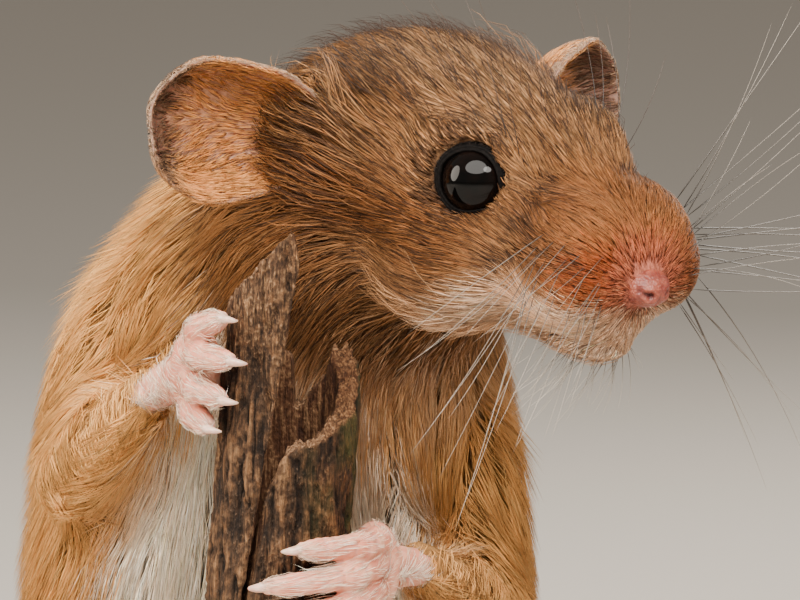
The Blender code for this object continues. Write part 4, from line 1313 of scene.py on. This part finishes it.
TAIL_HANG = ((0.2, 8.9, 29.4, 1.5), (0.3, 11.1, 26.6, 1.2), (1.9, 11.1, 24.0, 1.08),
             (4.5, 8.1, 22.6, 1.0), (6.1, 3.3, 22.0, 0.95), (6.4, -1.1, 21.7, 0.9),
             (5.6, -5.1, 21.4, 0.87))
TAIL_TURNS = 1.55
TAIL_PITCH = 2.7
TAIL_STEPS = 22
tail_rows = list(TAIL_HANG)
for step in range(1, TAIL_STEPS + 1):
    share = step / TAIL_STEPS
    radius = 0.86 - 0.5 * share ** 1.3
    place = on_stem(14 - 360 * TAIL_TURNS * share, 21.2 - TAIL_PITCH * TAIL_TURNS * share,
                    PADS_AWAY + radius)
    tail_rows.append((*place, radius))
line = eased(tail_rows, 8)
far = np.append(0, np.cumsum(norms(np.diff(line[:, :3], axis=0))))
SCALE_RING = 0.34
stops = np.arange(0, far[-1], SCALE_RING / 4)
line = np.stack([np.interp(stops, far, line[:, k]) for k in range(4)], 1)
line[:, 3] *= 1 + 0.03 * (1 - np.mod(stops / SCALE_RING, 1.0)) - 0.015
line[-6:, 3] *= (0.96, 0.9, 0.8, 0.66, 0.48, 0.25)
tail = settled(rod(line, 4))
rows = places(tail)
ring_of = nearest(line[:, :3], rows)[0]
off = rows - line[ring_of, :3]
above = gently(off[:, 2] / np.maximum(norms(off), 0.05), -0.6, 0.4)
in_ring = np.mod(stops[ring_of] / SCALE_RING, 1.0)
tail_colour = blended((0.42, 0.25, 0.17), (0.17, 0.09, 0.055), above)
tail_colour = tail_colour * (0.72 + 0.4 * (1 - in_ring))[:, None]
add_values(tail, "marking", tail_colour)
tail_finish, tree, shader = new_finish("tail_scales", (0.25, 0.14, 0.1), 0.5)
scales = cells(tree, 4200.0)
marked(tree, shader, scales, (0.1, (1, 1, 1)), (0.7, (0.6, 0.56, 0.54)))
bump(tree, shader, scales, -0.00005, 0.6)


def tail_tint(read, root):
    return blended((0.5, 0.33, 0.2), (0.12, 0.06, 0.035), read("above")), 0.0


def around_tail(read, root):
    return np.stack([np.arctan2(root[:, 0], root[:, 1]), root[:, 2]], 1)


ground = ground_of(tail, np.gradient(line[:, :3], axis=0)[ring_of], np.full(len(rows), 0.12),
                   above=above)
grow("hairs_tail", ground, 5200, np.ones(len(rows)), 0.55, 0.026, 1, tail_tint,
     around_tail, loose=0.16, raised=1.2)
add_piece("tail", tail, tail_finish, ["tail_%d" % k for k in range(1, 6)])


# The whiskers. Long springy hairs, black at the root and pale at the tip, in rows from
# the pads beside the nose, with shorter ones over the eyes and under the chin.

whisker_draw = np.random.default_rng(49)
WHISKER_ROWS = 6
WHISKER_COLUMNS = 5
# The right side's whiskers are shorter, thinner and paler at the tip than the left side's
SIDE_SHARE = {1: 1.0, -1: 0.62}
WHISKER_TIPS = {1: (0.42, 0.36, 0.3), -1: (0.62, 0.52, 0.42)}
# Directions of a fan of whiskers from the highest row to the lowest: ahead, out, up
FAN = np.array(((0.0, 0.5, 0.86), (0.12, 0.8, 0.6), (0.4, 0.9, 0.2), (0.5, 0.85, 0.1),
                (0.6, 0.75, -0.25), (0.3, 0.5, -0.85)))


def bristles(name, starts, headings, lengths, radii, bends, tip_colour):
    """Long single hairs as tapered rods that bend evenly along their length."""
    share = np.linspace(0, 1, 13)
    starts, headings, lengths = np.array(starts), np.array(headings), np.array(lengths)
    bends = np.broadcast_to(bends, starts.shape)
    radii = np.broadcast_to(radii, lengths.shape)
    headings = unit(headings)
    stations = (starts[:, None] + headings[:, None] * (lengths[:, None] * share)[:, :, None]
                + bends[:, None] * (lengths[:, None] * share ** 2)[:, :, None])
    stations = from_head(stations.reshape(-1, 3)).reshape(stations.shape)
    up = np.cross(headings @ HEAD_TURN.T, (0.31, 0.2, 0.93))
    thick = radii[:, None] * (1 - 0.82 * share[1:-1]) * 2
    points, faces = locks(stations, up, thick, thick * 0.87)
    fade = np.concatenate([[0], np.repeat(share[1:-1], 3), [1]]) ** 1.2
    colours = blended((0.012, 0.009, 0.008), tip_colour, fade)
    coat_piece(name, points, faces, np.tile(colours, (len(points), 1, 1)),
               whisker_draw.random((len(points), 2)), whisker_finish)


def on_hide(spot):
    """The place on the hide nearest to a place, both in the frame of the head."""
    found = hide_ground["tree"].find_nearest(from_head(spot).tolist())
    return in_head(np.array(found[0])[None])[0]


whisker_finish, tree, shader = new_finish("whisker", (0.1, 0.08, 0.07), 0.35)
marked(tree, shader, grain(tree, 0.0005, detail=2), (0.3, (0.8, 0.8, 0.8)), (0.7, (1, 1, 1)))

for label, side in SIDES:
    starts, headings, lengths, radii, bends = [], [], [], [], []
    for row in range(WHISKER_ROWS):
        for column in range(WHISKER_COLUMNS):
            spot = np.array((5.9 - 0.55 * column, side * (2.2 + 0.32 * column),
                             -1.5 - 0.5 * row + 0.1 * column))
            starts.append(on_hide(spot + whisker_draw.normal(0, 0.12, 3)))
            place = np.clip(row + whisker_draw.normal(0, 0.3), 0, len(FAN) - 1.01)
            lower = int(place)
            heading = FAN[lower] + (FAN[lower + 1] - FAN[lower]) * (place - lower)
            heading = heading * (1, side, 1) + whisker_draw.normal(0, 0.07, 3)
            if side < 0:
                heading = heading * (0.8, 1, 0.55) + (0.05, 0.1, -0.75)
            headings.append(heading)
            lengths.append((8.0 + 2.2 * column) * whisker_draw.uniform(0.75, 1.1)
                           * (0.75 if row in (0, WHISKER_ROWS - 1) else 1.0)
                           * SIDE_SHARE[side])
            radii.append((0.026 + 0.0025 * column) * SIDE_SHARE[side])
            bends.append((-0.12, 0.0, whisker_draw.uniform(-0.28, 0.1)))
    bristles("whiskers_" + label, starts, headings, lengths, radii, bends, WHISKER_TIPS[side])

starts, headings, lengths = [], [], []
for side in (1, -1):
    for k in range(5):
        spot = np.array((1.6 - 0.7 * k, side * 3.1, 1.6))
        starts.append(on_hide(spot + whisker_draw.normal(0, 0.25, 3)))
        heading = np.array((-0.1 - 0.15 * k, side * 0.45, 0.9))
        headings.append(heading + whisker_draw.normal(0, 0.12, 3))
        lengths.append(whisker_draw.uniform(4.5, 8.5))
bristles("brow_hairs", starts, headings, lengths, 0.022, (-0.25, 0, 0), (0.1, 0.06, 0.04))

starts, headings, lengths = [], [], []
for k in range(46):
    spot = np.array((whisker_draw.uniform(2.5, 6.0), whisker_draw.uniform(-2.2, 2.2), -7.0))
    starts.append(on_hide(spot))
    heading = np.array((-0.1, spot[1] * 0.3, -0.9))
    headings.append(heading + whisker_draw.normal(0, 0.2, 3))
    lengths.append(whisker_draw.uniform(1.8, 4.0))
bristles("chin_hairs", starts, headings, lengths, 0.016, (-0.2, 0, 0), (0.8, 0.7, 0.58))


# The studio. A plain pale floor, soft light from above, in front and behind, and a long
# lens a little above the mouse's face. Its places and sizes are in metres.

FLOOR_RADIUS = 4.0
TARGET = Vector((0.00553, -0.0085, 0.062))
CAMERA_AWAY = 0.3
CAMERA_ABOVE = math.radians(6)
# 800 pixels of 0.043 mm at the mouse
PICTURE_WIDTH = 800 * 0.000043
SENSOR = 36.0

floor_mesh = bmesh.new()
bmesh.ops.create_circle(floor_mesh, cap_ends=True, segments=96, radius=FLOOR_RADIUS)
floor = bpy.data.objects.new("floor", settled(floor_mesh))
bpy.context.scene.collection.objects.link(floor)
floor_finish, tree, shader = new_finish("floor_paper", (0.5, 0.47, 0.43), 0.95)
floor.data.materials.append(floor_finish)

world = bpy.data.worlds.new("studio")
bpy.context.scene.world = world
world.use_nodes = True
sky = world.node_tree.nodes["Background"]
sky.inputs["Color"].default_value = (1.0, 0.9, 0.78, 1)
sky.inputs["Strength"].default_value = 0.36


def soft_light(name, place, size, power, colour):
    """An oval area light turned to the mouse."""
    light = bpy.data.lights.new(name, "AREA")
    light.shape = "ELLIPSE"
    light.size, light.size_y = size
    light.energy = power
    light.color = colour
    holder = bpy.data.objects.new(name, light)
    holder.location = place
    holder.rotation_euler = (TARGET - Vector(place)).to_track_quat("-Z", "Y").to_euler()
    bpy.context.scene.collection.objects.link(holder)


soft_light("sky_panel", (-0.04, -0.24, 0.32), (0.42, 0.28), 4.1, (1.0, 0.95, 0.88))
soft_light("sky_gap", (0.17, -0.27, 0.3), (0.16, 0.12), 1.2, (1.0, 0.95, 0.88))
soft_light("side_fill", (-0.42, -0.04, 0.2), (0.25, 0.3), 2.6, (1.0, 0.9, 0.78))
soft_light("back_rim", (0.12, 0.35, 0.3), (0.3, 0.3), 1.6, (1.0, 0.92, 0.82))

camera_data = bpy.data.cameras.new("camera")
camera_data.sensor_width = SENSOR
camera_data.lens = SENSOR * CAMERA_AWAY / PICTURE_WIDTH
camera_data.clip_start = 0.01
camera_data.clip_end = 20.0
camera = bpy.data.objects.new("camera", camera_data)
back = Vector((0.0, -math.cos(CAMERA_ABOVE), math.sin(CAMERA_ABOVE)))
camera.location = TARGET + back * CAMERA_AWAY
camera.rotation_euler = (-back).to_track_quat("-Z", "Y").to_euler()
bpy.context.scene.collection.objects.link(camera)
bpy.context.scene.camera = camera
